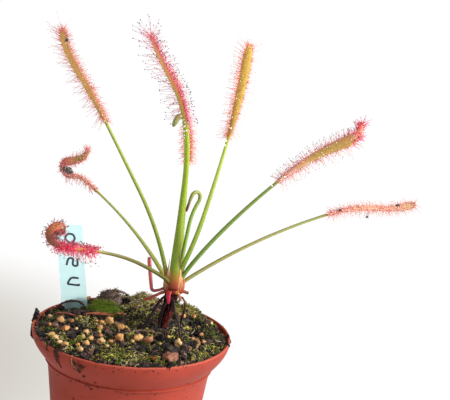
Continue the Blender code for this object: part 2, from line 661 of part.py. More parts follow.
def main():
    clear_scene()
    parts = new_collection("potted_sundew")
    cutters = new_collection("cutters", hidden=True)
    terracotta = finish_material("pot plastic", (0.50, 0.115, 0.06), 0.42)
    earth = finish_material("potting mix", (0.035, 0.028, 0.02), 0.95)
    moss = finish_material("moss", (0.16, 0.2, 0.035), 0.9)
    grit = finish_material("grit", (0.62, 0.4, 0.19), 0.8)
    plastic = finish_material("label plastic", (0.55, 0.83, 0.88), 0.35)
    bark = finish_material("stem bark", (0.05, 0.018, 0.016), 0.8)
    heart = finish_material("crown", (0.62, 0.16, 0.03), 0.5)
    green = finish_material("leaf", (0.32, 0.42, 0.05), 0.4)
    young = finish_material("young growth", (0.25, 0.42, 0.05), 0.4)
    dry = finish_material("dry leaf", (0.24, 0.07, 0.04), 0.75)
    red = finish_material("cut stalk", (0.66, 0.1, 0.08), 0.45)
    insect = finish_material("insect", (0.04, 0.035, 0.035), 0.5)

    make_pot(terracotta, parts, cutters)
    make_mix(earth, parts, cutters)
    add_object("label", label_mesh("label"), plastic, parts)
    make_stem(bark, parts)
    make_crown(heart, parts)
    for name, spec in LEAVES.items():
        make_leaf(name, spec, green, parts)
    for name, spec in SPROUTS.items():
        make_sprout(name, spec, young, parts)
    for name, (points, halves) in OLD_GROWTH.items():
        material = red if name in ("cut_stalk_left", "red_stipule") else dry
        make_strip(name, [Vector(p) * MM for p in points], halves, material, parts)
    for name, (places, halves) in LITTER.items():
        points = [Vector((x * MM, y * MM, mix_height(x * MM, y * MM) + lift * MM)) for x, y, lift in places]
        make_strip(name, points, halves, dry, parts)
    for name, place in MOSS.items():
        make_cushion(name, place, moss, parts)
    for k, (x, y, half_length, half_height) in enumerate(GRIT, 1):
        make_lump(f"grit_{k:02d}", x, y, half_length, half_height, k * 1.3, grit, parts)
    make_lump("bark_lump", *BARK_LUMP, 0.4, dry, parts)
    for k, (leaf, share, side, radius) in enumerate(GNATS, 1):
        make_gnat(f"gnat_{k}", leaf, share, side, radius, insect, parts)


main()
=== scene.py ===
"""A potted sundew: the shared frame from the CAD part, dressed as the living plant."""

import math
import random

import bmesh
import bpy
import numpy as np
from mathutils import Matrix, Vector, noise


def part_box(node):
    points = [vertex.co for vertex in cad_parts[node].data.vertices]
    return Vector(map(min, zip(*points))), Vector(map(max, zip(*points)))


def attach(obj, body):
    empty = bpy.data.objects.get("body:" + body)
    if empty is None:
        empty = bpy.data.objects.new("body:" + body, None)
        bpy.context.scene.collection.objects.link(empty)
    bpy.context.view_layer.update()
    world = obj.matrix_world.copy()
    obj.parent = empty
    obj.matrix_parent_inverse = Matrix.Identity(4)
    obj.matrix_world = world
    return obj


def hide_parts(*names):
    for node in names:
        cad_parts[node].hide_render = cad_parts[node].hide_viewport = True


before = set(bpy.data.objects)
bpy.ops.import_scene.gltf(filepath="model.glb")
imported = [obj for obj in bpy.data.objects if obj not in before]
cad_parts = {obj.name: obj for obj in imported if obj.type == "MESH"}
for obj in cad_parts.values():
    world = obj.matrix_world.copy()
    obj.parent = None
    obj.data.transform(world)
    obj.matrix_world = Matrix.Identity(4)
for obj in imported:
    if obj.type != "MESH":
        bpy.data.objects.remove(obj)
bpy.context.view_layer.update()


# ---- View and light ----
# A small object stood on a pale table before a white wall, seen from a little above. Broad soft
# light falls from the upper right, and the white surroundings fill in the other side. A soft shadow
# to the left of the pot is painted on the table.

MM = 0.001
WHITE = (1, 1, 1, 1)
CAMERA_PLACE = Vector((35.91, -513.91, 272.08)) * MM
CAMERA_RIGHT = Vector((0.99452, 0.02511, 0.10147))
CAMERA_UP = Vector((-0.10453, 0.23891, 0.96540))
CAMERA_LENS = 96  # mm, on a sensor SENSOR_WIDTH wide
SENSOR_WIDTH = 36
CAMERA_SEES = (0.01, 100)  # from and to, in metres
KEY_LIGHT = dict(place=(1.0, -0.28, 0.62), size=0.5, power=26.0)
FILL_LIGHT = dict(place=(0.0, -1.0, 0.8), size=0.9, power=2.8)
LIGHT_AIM = Vector((0.02, 0, 0.1))
AMBIENT = 0.45
TABLE_HALF = 30.0
TABLE_DROP = 0.2 * MM  # under the pot, so that the two faces don't fight
TABLE_GREY = 0.86
TABLE_ROUGHNESS = 0.9
TABLE_GLOW = 0.97  # share of plain white that the eye sees in the table
GLOW_STRENGTH = 1.03
PAINTED_TABLE_SHADOW = (0.63, 0.60, 0.55)  # a painted shadow on the table, to the left of the pot
PAINTED_SHADOW_CENTRE = (-0.2, 0.12, 0)
PAINTED_SHADOW_REACH = (0.10, 0.27)

scene = bpy.context.scene
scene.view_settings.view_transform = "Standard"
stand = bpy.data.collections.new("surroundings")
scene.collection.children.link(stand)

camera = bpy.data.objects.new("camera", bpy.data.cameras.new("camera"))
camera.data.lens = CAMERA_LENS
camera.data.sensor_width = SENSOR_WIDTH
camera.data.sensor_fit = "HORIZONTAL"
camera.data.clip_start, camera.data.clip_end = CAMERA_SEES
backward = CAMERA_RIGHT.cross(CAMERA_UP)
facing = Matrix((CAMERA_RIGHT, CAMERA_UP, backward)).transposed().to_4x4()
camera.matrix_world = Matrix.Translation(CAMERA_PLACE) @ facing
stand.objects.link(camera)
scene.camera = camera


def hang_light(name, place, size, power):
    light = bpy.data.objects.new(name, bpy.data.lights.new(name, "AREA"))
    light.data.shape = "DISK"
    light.data.size = size
    light.data.energy = power
    light.location = place
    light.rotation_euler = (LIGHT_AIM - Vector(place)).to_track_quat("-Z", "Y").to_euler()
    stand.objects.link(light)


hang_light("key_light", **KEY_LIGHT)
hang_light("fill_light", **FILL_LIGHT)


def add_node(tree, kind, inputs, **settings):
    """A shader node. Each of its inputs is given a value, or a socket that feeds it."""
    node = tree.nodes.new("ShaderNode" + kind)
    for name, value in settings.items():
        setattr(node, name, value)
    for name, value in inputs.items():
        if isinstance(value, bpy.types.NodeSocket):
            tree.links.new(value, node.inputs[name])
        else:
            node.inputs[name].default_value = value
    return node


def own_place(tree):
    """A place on the piece, in the piece's own coordinates."""
    return add_node(tree, "TexCoord", {}).outputs["Object"]


def soft_step(tree, value, low, high):
    """Runs from 0 at low to 1 at high."""
    return add_node(tree, "MapRange", {"Value": value, "From Min": low, "From Max": high},
                    interpolation_type="SMOOTHSTEP").outputs[0]


def seen_or_mirrored(tree):
    """1 for a ray from the eye, or one that reaches here by gloss or through glass, and 0 for others."""
    path = add_node(tree, "LightPath", {})
    total = path.outputs["Is Camera Ray"]
    for kind in ("Is Glossy Ray", "Is Transmission Ray"):
        total = add_node(tree, "Math", {0: total, 1: path.outputs[kind]}, operation="MAXIMUM").outputs[0]
    return total


world = bpy.data.worlds.new("white_room")
world.use_nodes = True
scene.world = world
tree = world.node_tree
ambient = tree.nodes["Background"]
ambient.inputs["Color"].default_value = WHITE
ambient.inputs["Strength"].default_value = AMBIENT
white = add_node(tree, "Background", {"Strength": 1})
choice = add_node(tree, "MixShader", {0: seen_or_mirrored(tree), 1: ambient.outputs[0], 2: white.outputs[0]})
tree.links.new(choice.outputs[0], tree.nodes["World Output"].inputs["Surface"])

paint = bpy.data.materials.new("table_white")
paint.use_nodes = True
tree = paint.node_tree
matt = tree.nodes["Principled BSDF"]
matt.inputs["Base Color"].default_value = (TABLE_GREY, TABLE_GREY, TABLE_GREY, 1)
matt.inputs["Roughness"].default_value = TABLE_ROUGHNESS
# The glow seen in the table greys near a point to the left of the pot: a painted shadow.
away = add_node(tree, "VectorMath", {0: own_place(tree), 1: PAINTED_SHADOW_CENTRE}, operation="DISTANCE")
bright = soft_step(tree, away.outputs["Value"], *PAINTED_SHADOW_REACH)
paler = add_node(tree, "Mix", {"Factor": bright, "A": (*PAINTED_TABLE_SHADOW, 1), "B": WHITE}, data_type="RGBA")
glow = add_node(tree, "Emission", {"Color": paler.outputs["Result"], "Strength": GLOW_STRENGTH})
share = add_node(tree, "Math", {0: seen_or_mirrored(tree), 1: TABLE_GLOW}, operation="MULTIPLY")
mixed = add_node(tree, "MixShader", {0: share.outputs[0], 1: matt.outputs[0], 2: glow.outputs[0]})
tree.links.new(mixed.outputs[0], tree.nodes["Material Output"].inputs["Surface"])


def meshed(name, bm):
    """A mesh with the bmesh's shape. The bmesh is freed."""
    mesh = bpy.data.meshes.new(name)
    bm.to_mesh(mesh)
    bm.free()
    return mesh


bm = bmesh.new()
bmesh.ops.create_grid(bm, x_segments=8, y_segments=8, size=TABLE_HALF,
                      matrix=Matrix.Translation((0, 0, -TABLE_DROP)))
table = bpy.data.objects.new("table", meshed("table", bm))
table.data.materials.append(paint)
stand.objects.link(table)


# ---- Pot ----
# A thin nursery pot of terracotta-red plastic, moulded in one shot: a plain tapering body, a flared
# collar with a small bead where it starts, a rounded lip, and six drain holes in the floor.

POT_HEIGHT = 80
RIM_RADIUS = 45
WALL = 1.2
FLOOR = 1.6
BASE_RADIUS = 29
NECK_RADIUS = 37
COLLAR_HEIGHT = 15
LEDGE = 1
BEAD = [(0.86, 1.66), (0.84, 1.5), (1.22, 1.32), (1.26, 0.9), (1.1, 0.55), (0.3, 0.25), (0, -0.3)]
FOOT_ROUND = [(0, 0.7), (0.1, 0.3), (0.35, 0.08), (0.7, 0)]  # in from the base's edge, and up
LIP_STEPS = 4
FLARE_STEPS = 14
BODY_STEPS = 8
POT_TURNS = 144
SPIN_JOINED = 0.001 * MM  # corners nearer than this are one
HOLE_RADIUS = 3.5
HOLE_CIRCLE = 20
HOLES = 6
POT_RED = (0.275, 0.033, 0.017)
POT_DEEP = (0.225, 0.026, 0.013)
# the lighter colour along the top of the lip is a painted highlight
POT_LIP_HIGHLIGHT = (0.36, 0.07, 0.04)
SCUFFED = [(0.0, (1, 1, 1)), (0.62, (1, 1, 1)), (0.68, (0.55, 0.5, 0.48)), (1.0, (0.5, 0.45, 0.42))]
LIP_HIGHLIGHT_FROM, LIP_HIGHLIGHT_TO = POT_HEIGHT - 1.2, POT_HEIGHT + 0.4

dressing = bpy.data.collections.new("potted_sundew")
scene.collection.children.link(dressing)


def show(name, bm, material, slot, *replaced, smooth=True):
    """Makes a finished piece of a bmesh, which rides on the pot's body and stands for these CAD nodes."""
    mesh = meshed(name, bm)
    mesh.materials.append(material)
    mesh.polygons.foreach_set("use_smooth", [smooth] * len(mesh.polygons))
    piece = bpy.data.objects.new(name, mesh)
    dressing.objects.link(piece)
    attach(piece, "root")
    if replaced:
        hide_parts(*replaced)
    return piece


def blank_finish(name, roughness):
    """A new material, its node tree and its shader."""
    material = bpy.data.materials.new(name)
    material.use_nodes = True
    shader = material.node_tree.nodes["Principled BSDF"]
    shader.inputs["Roughness"].default_value = roughness
    return material, material.node_tree, shader


def grain(tree, per_metre, detail=4.0, rough=0.55):
    """Noise on the piece's own coordinates, from 0 to 1."""
    return add_node(tree, "TexNoise", {"Vector": own_place(tree), "Scale": per_metre, "Detail": detail,
                                       "Roughness": rough}).outputs[0]


def shades(tree, value, stops):
    """A colour for each value, from stops of (value, colour)."""
    ramp = add_node(tree, "ValToRGB", {0: value})
    for _ in stops[2:]:
        ramp.color_ramp.elements.new(0.5)
    for element, (at, _) in zip(ramp.color_ramp.elements, stops):
        element.position = at
    for element, (_, colour) in zip(ramp.color_ramp.elements, stops):
        element.color = (*colour, 1)
    return ramp.outputs[0]


def blend_colours(tree, kind, factor, first, second):
    return add_node(tree, "Mix", {"Factor": factor, "A": first, "B": second},
                    data_type="RGBA", blend_type=kind).outputs["Result"]


def roughen(tree, shader, height, distance, strength=1.0):
    bump = add_node(tree, "Bump", {"Height": height, "Distance": distance, "Strength": strength})
    tree.links.new(bump.outputs[0], shader.inputs["Normal"])


def lip_round(turn):
    """A place on the rounded lip, at a turn from level."""
    radius, height = RIM_RADIUS - WALL / 2, POT_HEIGHT - WALL / 2
    return radius + math.cos(turn) * WALL / 2, height + WALL / 2 * math.sin(turn)


def pot_outline():
    """The outer side from lip to foot, as (radius, height) in millimetres."""
    neck = POT_HEIGHT - COLLAR_HEIGHT
    lowest, ledge = neck + LEDGE, NECK_RADIUS + LEDGE
    points = [lip_round(math.pi / 2 * (1 - k / LIP_STEPS)) for k in range(LIP_STEPS)]
    for k in range(FLARE_STEPS + 1):
        share = 1 - k / FLARE_STEPS
        points.append((ledge + (RIM_RADIUS - ledge) * math.sin(math.pi / 2 * share),
                       lowest + 0.9 + (POT_HEIGHT - 1.5 - lowest) * share))
    points += [(NECK_RADIUS + out, neck + up) for out, up in BEAD]
    for k in range(1, BODY_STEPS):
        share = k / BODY_STEPS
        points.append((NECK_RADIUS + (BASE_RADIUS - NECK_RADIUS) * share, (neck - 0.3) * (1 - share)))
    return points + [(BASE_RADIUS - inward, up) for inward, up in FOOT_ROUND]


def pot_lining():
    """The inner side from floor to lip, one wall inside the outer one."""
    inner = [(radius - WALL, height) for radius, height in pot_outline()[LIP_STEPS:] if height > FLOOR + 1]
    lip = [lip_round(math.pi - math.pi / 2 * k / LIP_STEPS) for k in range(LIP_STEPS)]
    foot = [(0, FLOOR), (BASE_RADIUS - WALL - 0.6, FLOOR), (BASE_RADIUS - WALL + 0.1, FLOOR + 0.6)]
    return foot + inner[::-1] + lip


def spun(profile, turns):
    """A closed shell of a profile in millimetres, turned round Z."""
    bm = bmesh.new()
    corners = [bm.verts.new((radius * MM, 0, height * MM)) for radius, height in profile]
    edges = [bm.edges.new(pair) for pair in zip(corners, corners[1:])]
    bmesh.ops.spin(bm, geom=corners + edges, cent=(0, 0, 0), axis=(0, 0, 1), angle=math.tau,
                   steps=turns, use_merge=True, use_duplicate=False)
    bmesh.ops.remove_doubles(bm, verts=bm.verts, dist=SPIN_JOINED)
    bmesh.ops.recalc_face_normals(bm, faces=bm.faces)
    return bm


pot_plastic, tree, shader = blank_finish("pot_plastic", 0.6)
shader.inputs["Specular IOR Level"].default_value = 0.2
mottle = shades(tree, grain(tree, 38, 3), [(0.3, POT_DEEP), (0.55, POT_RED), (0.8, POT_RED)])
dirty = blend_colours(tree, "MULTIPLY", 0.8, mottle, shades(tree, grain(tree, 420, 6, 0.7), SCUFFED))
height = add_node(tree, "SeparateXYZ", {0: own_place(tree)}).outputs["Z"]
# the top of the lip turns lighter: a painted highlight
lip_highlight_mask = soft_step(tree, height, LIP_HIGHLIGHT_FROM * MM, LIP_HIGHLIGHT_TO * MM)
tree.links.new(blend_colours(tree, "MIX", lip_highlight_mask, dirty, (*POT_LIP_HIGHLIGHT, 1)), shader.inputs["Base Color"])
roughen(tree, shader, grain(tree, 900, 3), 0.03 * MM, 0.5)

bm = spun(pot_lining() + pot_outline() + [(0, 0)], POT_TURNS)
pot = show("pot_shell", bm, pot_plastic, "pot_plastic", "pot")
bm = bmesh.new()
for k in range(HOLES):
    angle = math.tau * k / HOLES
    hole = Matrix.Translation((HOLE_CIRCLE * MM * math.cos(angle), HOLE_CIRCLE * MM * math.sin(angle), 0))
    bmesh.ops.create_cone(bm, cap_ends=True, segments=32, radius1=HOLE_RADIUS * MM, radius2=HOLE_RADIUS * MM,
                          depth=6 * FLOOR * MM, matrix=hole)
drill = bpy.data.objects.new("drill", meshed("drill", bm))
scene.collection.objects.link(drill)
holes = pot.modifiers.new("holes", "BOOLEAN")
holes.operation = "DIFFERENCE"
holes.solver = "EXACT"
holes.object = drill
bpy.context.view_layer.update()
drilled = bpy.data.meshes.new_from_object(pot.evaluated_get(bpy.context.evaluated_depsgraph_get()))
pot.modifiers.clear()
pot.data = drilled
drilled.name = "pot_shell"
bpy.data.objects.remove(drill)
pot.data.set_sharp_from_angle(angle=math.radians(50))


# ---- Potting mix ----
# A dark peaty mix, filled level with the lip, and heaped behind the plant. Fine crumbs of peat and
# bark lie loose all over it, and some of it is splashed on the collar.

MIX_EDGE = 79.4
MIX_CROWN = 2.0
MIX_RADIUS = RIM_RADIUS - WALL - 0.5
RIDGE = 3.2
RIDGE_PLACE = (4, 25)
RIDGE_SIZE = (26, 10)
MIX_RINGS = 64
MIX_TURNS = 180
MIX_ROUGH = 1.7
MIX_LUMP = 4.2
SUNK = [(160, 34, 2.0), (16, 36, 3.2)]  # azimuth and spread where the mix has sunk, and how far
RIPPLE = 0.25
RIPPLE_SIZE = (4.1, 4.7)
CRUMBS = 1000
CRUMB_SIZES = (0.45, 1.5, 2.6)  # least half length, the range above it, and how rare the big ones are
LIP_CRUMBS = 330
LIP_CRUMB_SIZES = (0.35, 0.8, 2)
LIP_SPAN = (-175, 20)  # the azimuths where crumbs lie thick along the lip
CRUMB_SHADES = [
    (0.014, 0.013, 0.015), (0.03, 0.02, 0.018), (0.06, 0.034, 0.028), (0.14, 0.075, 0.055),
    (0.018, 0.021, 0.026), (0.24, 0.14, 0.08), (0.1, 0.09, 0.03), (0.1, 0.062, 0.06),
]
CHUNKS = [  # centre, half length and half height of the big dark lumps
    (-35.6, -16.4, 2.3, 1.6), (-23.9, -20.5, 2.6, 1.9), (-11, -34, 2.5, 1.6), (-4.6, 4.8, 2.2, 1.8),
    (2.8, -32, 2.2, 1.6), (-30.9, 20.3, 2.2, 2.2), (14.8, -14, 2.4, 2.0), (34.2, -9.5, 2.4, 1.8),
    (40, -11.5, 1.8, 1.7), (-1.5, 7, 1.8, 1.6), (27, 8, 2.4, 2.0), (-39.4, -7.2, 2.0, 1.6),
    (-8, -17, 2.2, 1.5), (-13.5, -6.5, 2.0, 1.3), (8, -27, 2.0, 1.4), (19, -24, 1.8, 1.3),
    (6.5, -12.5, 2.1, 1.6), (32, 14, 2.0, 1.6), (-22, -9, 1.8, 1.3), (13, 14, 2.2, 2.0),
    (-19, 22, 2.0, 1.7), (26, -16, 1.8, 1.4), (1, -24.5, 1.7, 1.3), (9, 38, 2.2, 1.8),
    (-7, 38, 2.0, 1.8), (20, 31, 1.8, 1.6), (37.5, 8, 1.8, 1.4), (-36, -24, 1.6, 1.2),
    (-27, 27, 2, 1.6), (30, -27, 1.6, 1.3), (33, 4.5, 2.2, 2.4), (36.5, -5, 1.8, 1.8),
    (29, 13, 2.0, 2.2), (24, 20, 1.9, 2.0), (30, -1, 1.9, 1.8), (21, -2.5, 2.0, 1.8), (40, 2, 1.9, 1.9),
    (25.5, -22.5, 1.9, 1.6), (12, -30, 1.8, 1.4), (-27, 8, 2.0, 1.8), (-33.5, 13, 1.9, 1.8),
    (-16.5, 12.5, 1.8, 1.6), (5, -4, 2.0, 1.6), (-26, -34, 1.8, 1.6), (20, -38.5, 1.8, 1.5),
    (36, -20, 1.8, 1.6), (-2, 15, 1.8, 1.8), (8, 20, 1.8, 1.8), (16, -22, 2.2, 1.6),
    (-16, -31.5, 2.2, 1.7), (-29.5, -18, 2.0, 1.6), (25, -29, 2.2, 1.8), (31.5, -19.5, 2.2, 1.8),
    (-6, -29.5, 2.0, 1.5),
]
CHUNK_SHADES = [
    (0.016, 0.013, 0.01), (0.028, 0.02, 0.022), (0.016, 0.013, 0.012), (0.075, 0.045, 0.038),
]
PEAT_SHADES = [(0.34, (0.008, 0.008, 0.009)), (0.48, (0.022, 0.015, 0.013)), (0.58, (0.05, 0.042, 0.014)),
               (0.7, (0.12, 0.07, 0.036))]

chance = random.Random(7)


def mix_height(x, y):
    """Height of the mix at a place, all in millimetres."""
    out = math.hypot(x, y) / (RIM_RADIUS - WALL)
    ridge = RIDGE * math.exp(
        -((x - RIDGE_PLACE[0]) / RIDGE_SIZE[0]) ** 2 - ((y - RIDGE_PLACE[1]) / RIDGE_SIZE[1]) ** 2)
    ripple = RIPPLE * math.sin(x / RIPPLE_SIZE[0]) * math.cos(y / RIPPLE_SIZE[1]) * (1 - out)
    azimuth = math.degrees(math.atan2(y, x))
    sunk = 0
    for middle, spread, depth in SUNK:
        off = (azimuth - middle + 180) % 360 - 180
        sunk += depth * math.exp(-(off / spread) ** 2) * out ** 10
    return MIX_EDGE + MIX_CROWN * (1 - out * out) + ridge + ripple - sunk


def on_mix(x, y, lift):
    """A place in millimetres, lifted this far off the mix."""
    return x, y, mix_height(x, y) + lift


def tinted_bm():
    """An empty bmesh whose corners can be tinted, and its layer of tints."""
    bm = bmesh.new()
    return bm, bm.verts.layers.float_color.new("tint")


def shape_of(bm, name):
    """A small shape kept to be repeated, as a mesh with a tint at every corner, and those corners."""
    bmesh.ops.recalc_face_normals(bm, faces=bm.faces)
    shape = meshed(name, bm)
    shape.attributes.new("tint", "FLOAT_COLOR", "POINT")
    corners = np.empty(len(shape.vertices) * 3)
    shape.vertices.foreach_get("co", corners)
    return shape, corners.reshape(-1, 3)


def add_copy(bm, shape, corners, tints):
    """Adds one copy of a small shape, with its corners moved to these places and tinted."""
    colours = np.ones((len(corners), 4))
    colours[:, :3] = tints
    shape.vertices.foreach_set("co", corners.ravel())
    shape.attributes["tint"].data.foreach_set("color", colours.ravel())
    bm.from_mesh(shape)


def lump_shape(name, u_segments, v_segments, unevenness, seed):
    """A rough round crumb of unit radius."""
    bm = bmesh.new()
    bmesh.ops.create_uvsphere(bm, u_segments=u_segments, v_segments=v_segments, radius=1)
    for vert in bm.verts:
        vert.co *= 1 + unevenness * noise.noise(vert.co * 1.3 + Vector((seed * 7.3, 0, 0)))
    return shape_of(bm, name)


def crumb_size(least, more, rarity):
    return least + more * chance.random() ** rarity


def drop_crumb(bm, which, centre, sizes, tint):
    """A crumb turned at random, squashed to these half sizes in millimetres and set at centre."""
    shape, corners = crumbs[which]
    turn = Matrix.Rotation(chance.uniform(0, math.tau), 3, "Z")
    tip = Matrix.Rotation(chance.uniform(-0.6, 0.6), 3, "X")
    turned = np.array(turn @ tip @ Matrix.Diagonal(Vector(sizes) * MM))
    add_copy(bm, shape, corners @ turned.T + np.array(centre) * MM, tint)


def tinted_finish(name, roughness, low, high, per_metre, depth=0.0, fine=None, shine=0.5, clear=0.0,
                  patchy=0.55, fine_detail=4):
    """A finish in each corner's own tint, wandering between two shades of it, with a rough surface."""
    material, tree, shader = blank_finish(name, roughness)
    shader.inputs["Specular IOR Level"].default_value = shine
    shader.inputs["Transmission Weight"].default_value = clear
    tint = add_node(tree, "Attribute", {}, attribute_name="tint").outputs["Color"]
    mottled = shades(tree, grain(tree, per_metre, 5, patchy), [(0.3, (low,) * 3), (0.7, (high,) * 3)])
    tree.links.new(blend_colours(tree, "MULTIPLY", 1.0, tint, mottled), shader.inputs["Base Color"])
    if depth:
        roughen(tree, shader, grain(tree, fine or 2 * per_metre, fine_detail), depth)
    return material


peat, tree, shader = blank_finish("potting_mix", 0.95)
tree.links.new(shades(tree, grain(tree, 260, 6, 0.7), PEAT_SHADES), shader.inputs["Base Color"])
roughen(tree, shader, grain(tree, 700, 5), 0.4 * MM)
crumb_finish = tinted_finish("crumbs", 0.95, 0.38, 0.95, 900, 0.15 * MM, shine=0.2)

profile = [(MIX_RADIUS * k / MIX_RINGS, MIX_EDGE) for k in range(MIX_RINGS + 1)]
profile += [(radius - 0.4, height) for radius, height in pot_lining()[:1:-1] if height < MIX_EDGE - 1]
profile += [(BASE_RADIUS - WALL - 0.8, FLOOR + 0.4), (0, FLOOR + 0.4)]
bm = spun(profile, MIX_TURNS)
for vert in bm.verts:
    if vert.co.z > (MIX_EDGE - 0.01) * MM:
        x, y = vert.co.x / MM, vert.co.y / MM
        lumps = noise.fractal(Vector((x, y, 0)) / MIX_LUMP, 0.6, 2.2, 5)
        vert.co.z = (mix_height(x, y) + MIX_ROUGH * lumps) * MM
show("mix_body", bm, peat, "potting_mix", "potting_mix")

crumbs = [lump_shape(f"crumb_{k}", 6, 5, 0.9, k) for k in range(4)]
bm = bmesh.new()
for _ in range(CRUMBS):
    reach = MIX_RADIUS * math.sqrt(chance.random())
    angle = chance.uniform(0, math.tau)
    size = crumb_size(*CRUMB_SIZES)
    sizes = (size, size * chance.uniform(0.5, 1), size * chance.uniform(0.4, 0.8))
    which = chance.randrange(4)
    place = on_mix(reach * math.cos(angle), reach * math.sin(angle), 0.5 + 0.35 * size)
    drop_crumb(bm, which, place, sizes, chance.choice(CRUMB_SHADES))
for _ in range(LIP_CRUMBS):
    angle = math.radians(chance.uniform(*LIP_SPAN))
    reach = MIX_RADIUS + 0.6 - abs(chance.gauss(0, 1.6))
    size = crumb_size(*LIP_CRUMB_SIZES)
    which = chance.randrange(4)
    place = on_mix(reach * math.cos(angle), reach * math.sin(angle), 0.6 + 0.4 * size)
    drop_crumb(bm, which, place, (size, size * 0.8, size * 0.7), chance.choice(CRUMB_SHADES))
show("peat_crumbs", bm, crumb_finish, "potting_mix", smooth=False)


def knobbly(bm, centre, half_sizes, unevenness, seed, tint, fineness=3):
    """One rounded grain with an uneven surface, half sizes in millimetres, its lower part darkened as painted
    shade.
    """
    made = bmesh.ops.create_icosphere(bm, subdivisions=fineness, radius=1)["verts"]
    layer = bm.verts.layers.float_color["tint"]
    turn = Matrix.Rotation(seed * 1.3, 3, "Z")
    for vert in made:
        # painted shade: the lower part of each grain is darkened
        low = 0.5 + 0.5 * min(1, max(0, vert.co.z + 0.7))
        swollen = vert.co * (1 + unevenness * noise.fractal(vert.co * 1.1 + Vector((seed, 0, 0)), 1, 2, 3))
        vert.co = (turn @ (swollen * Vector(half_sizes)) + Vector(centre)) * MM
        vert[layer] = (*(c * low for c in tint), 1)


bm, _ = tinted_bm()
for k, (x, y, half, high) in enumerate(CHUNKS):
    knobbly(bm, on_mix(x, y, 0.4 * high), (half, half * 0.8, high), 1.1, 100 + k,
            CHUNK_SHADES[k % len(CHUNK_SHADES)])
show("peat_chunks", bm, crumb_finish, "potting_mix", smooth=False)


# ---- Splashes on the pot ----
# Wet mix that ran over the lip and dried in two streaks down the collar, a heap on the lip at the
# far left, and small specks all round.

STREAKS = [  # azimuth at the lip, its lean, width at the lip, from and to heights, and crumbs
    (229.5, 0, 3.6, 80.6, 77.5, 80), (230.4, 0.8, 2.4, 79, 71.6, 90), (242.5, 0.3, 2.6, 78, 74.2, 46),
    (247.5, 0, 4.0, 77.6, 75.6, 46), (245, 0.5, 3.0, 75, 72.8, 36), (247.5, 0, 1.4, 72, 70.8, 12),
    (249.5, 0, 1.3, 64.8, 63.6, 8), (254, 0, 1.4, 69.2, 68.2, 8), (235, 0, 1.2, 57, 55.6, 8),
    (197, 0, 1.6, 67, 64, 16), (221, 0, 2.4, 80.5, 77.5, 24),
]
STREAK_CRUMB_SIZES = (0.2, 0.6, 2)
LIP_HEAPS = [  # azimuth, height, size and crumbs
    (178, 81.2, 1.5, 14), (193, 77.2, 1.1, 10), (4, 79.6, 0.9, 6), (352, 79.8, 0.8, 5)]
SMEARS = [  # from and to azimuth, height and crumbs
    (256, 292, 78.2, 26), (205, 232, 79.2, 36), (300, 330, 78.6, 14), (232, 262, 66.2, 40),
    (262, 300, 65.6, 16)]
SMEAR_CRUMBS = (0.1, 0.42)
SPECKS = 150
SPECK_SIZES = (0.12, 0.42)
SPECKS_REACH = 60  # how far down the pot they are found
SPECK_BROWN = (0.05, 0.022, 0.014)
SPLASH_SHADES = [(0.035, 0.02, 0.014), (0.09, 0.022, 0.016), (0.06, 0.02, 0.014), (0.12, 0.04, 0.025)]
LIP_ROOTS = [  # azimuth and height of a strand's two ends, and its colour
    (241, 80.3, 244.2, 74.8, (0.6, 0.3, 0.12)), (230, 80.6, 229.5, 75, (0.1, 0.06, 0.03)),
    (246, 79, 248, 75, (0.1, 0.03, 0.02)), (183, 79, 186, 73, (0.03, 0.02, 0.018)),
]
LIP_ROOT_RADIUS = 0.32


def between(first, second, share):
    """The colour at a share of the way from the first to the second."""
    return [a + (b - a) * min(1.0, max(0.0, share)) for a, b in zip(first, second)]


def read_keys(keys, share):
    """The number or colour at a share of the way along, on straight lines between keys."""
    for (start, first), (end, last) in zip(keys, keys[1:]):
        if share <= end:
            if isinstance(first, (int, float)):
                return first + (last - first) * (share - start) / (end - start)
            return between(first, last, (share - start) / (end - start))
    return keys[-1][1]


OUTER_KEYS = [(height, radius) for radius, height in pot_outline()[::-1]]


def on_pot(azimuth, height, lift):
    """A place on the outside of the pot, in metres."""
    radius = (read_keys(OUTER_KEYS, height) + lift) * MM
    angle = math.radians(azimuth)
    return Vector((radius * math.cos(angle), radius * math.sin(angle), height * MM))


def stick_crumb(bm, azimuth, height, size, lift, tint, flat=0.25):
    """A flat crumb that sticks to the outside of the pot."""
    shape, corners = crumbs[chance.randrange(4)]
    squashed = corners * np.array((flat * size, size * chance.uniform(0.6, 1), size)) * MM
    turn = (Matrix.Rotation(math.radians(azimuth), 3, "Z")
            @ Matrix.Rotation(chance.uniform(-0.9, 0.9), 3, "X"))
    add_copy(bm, shape, squashed @ np.array(turn).T + np.array(on_pot(azimuth, height, lift)), tint)


def strand_shape(name, sides, joints, tip, beaded=0.0):
    """A straight closed tube of unit radius and unit length up Z, which narrows to its tip."""
    bm = bmesh.new()
    bmesh.ops.create_cone(bm, cap_ends=True, segments=sides, radius1=1, radius2=tip, depth=1,
                          matrix=Matrix.Translation((0, 0, 0.5)))
    for k in range(1, joints):
        bmesh.ops.bisect_plane(bm, geom=bm.verts[:] + bm.edges[:] + bm.faces[:],
                               plane_co=(0, 0, k / joints), plane_no=(0, 0, 1))
    for vert in bm.verts:
        swell = 1 + beaded * (1 if round(vert.co.z * joints) % 2 else -1)
        vert.co = (vert.co.x * swell, vert.co.y * swell, vert.co.z)
    return shape_of(bm, name)


def bend_strand(corners, foot, reach, sag, radius, curl=0.0):
    """Corners of a unit strand laid from foot along reach, drawn aside by sag and curled, in metres."""
    way = Vector(reach).normalized()
    side = way.orthogonal().normalized()
    other = way.cross(side)
    z = corners[:, 2:3]
    laid = np.array(foot) + z * np.array(reach) + z * z * np.array(sag)
    if curl:
        around = z * math.tau * 0.85
        laid = laid + curl * ((1 - np.cos(around)) * np.array(side) + np.sin(around) * np.array(other))
    return laid + radius * (corners[:, 0:1] * np.array(side) + corners[:, 1:2] * np.array(other))


def graded(corners, low, high):
    """A colour at each corner of a unit strand, from its foot to its tip."""
    z = corners[:, 2:3]
    return np.array(low) * (1 - z) + np.array(high) * z


def darker(tint, share):
    return [c * share for c in tint]


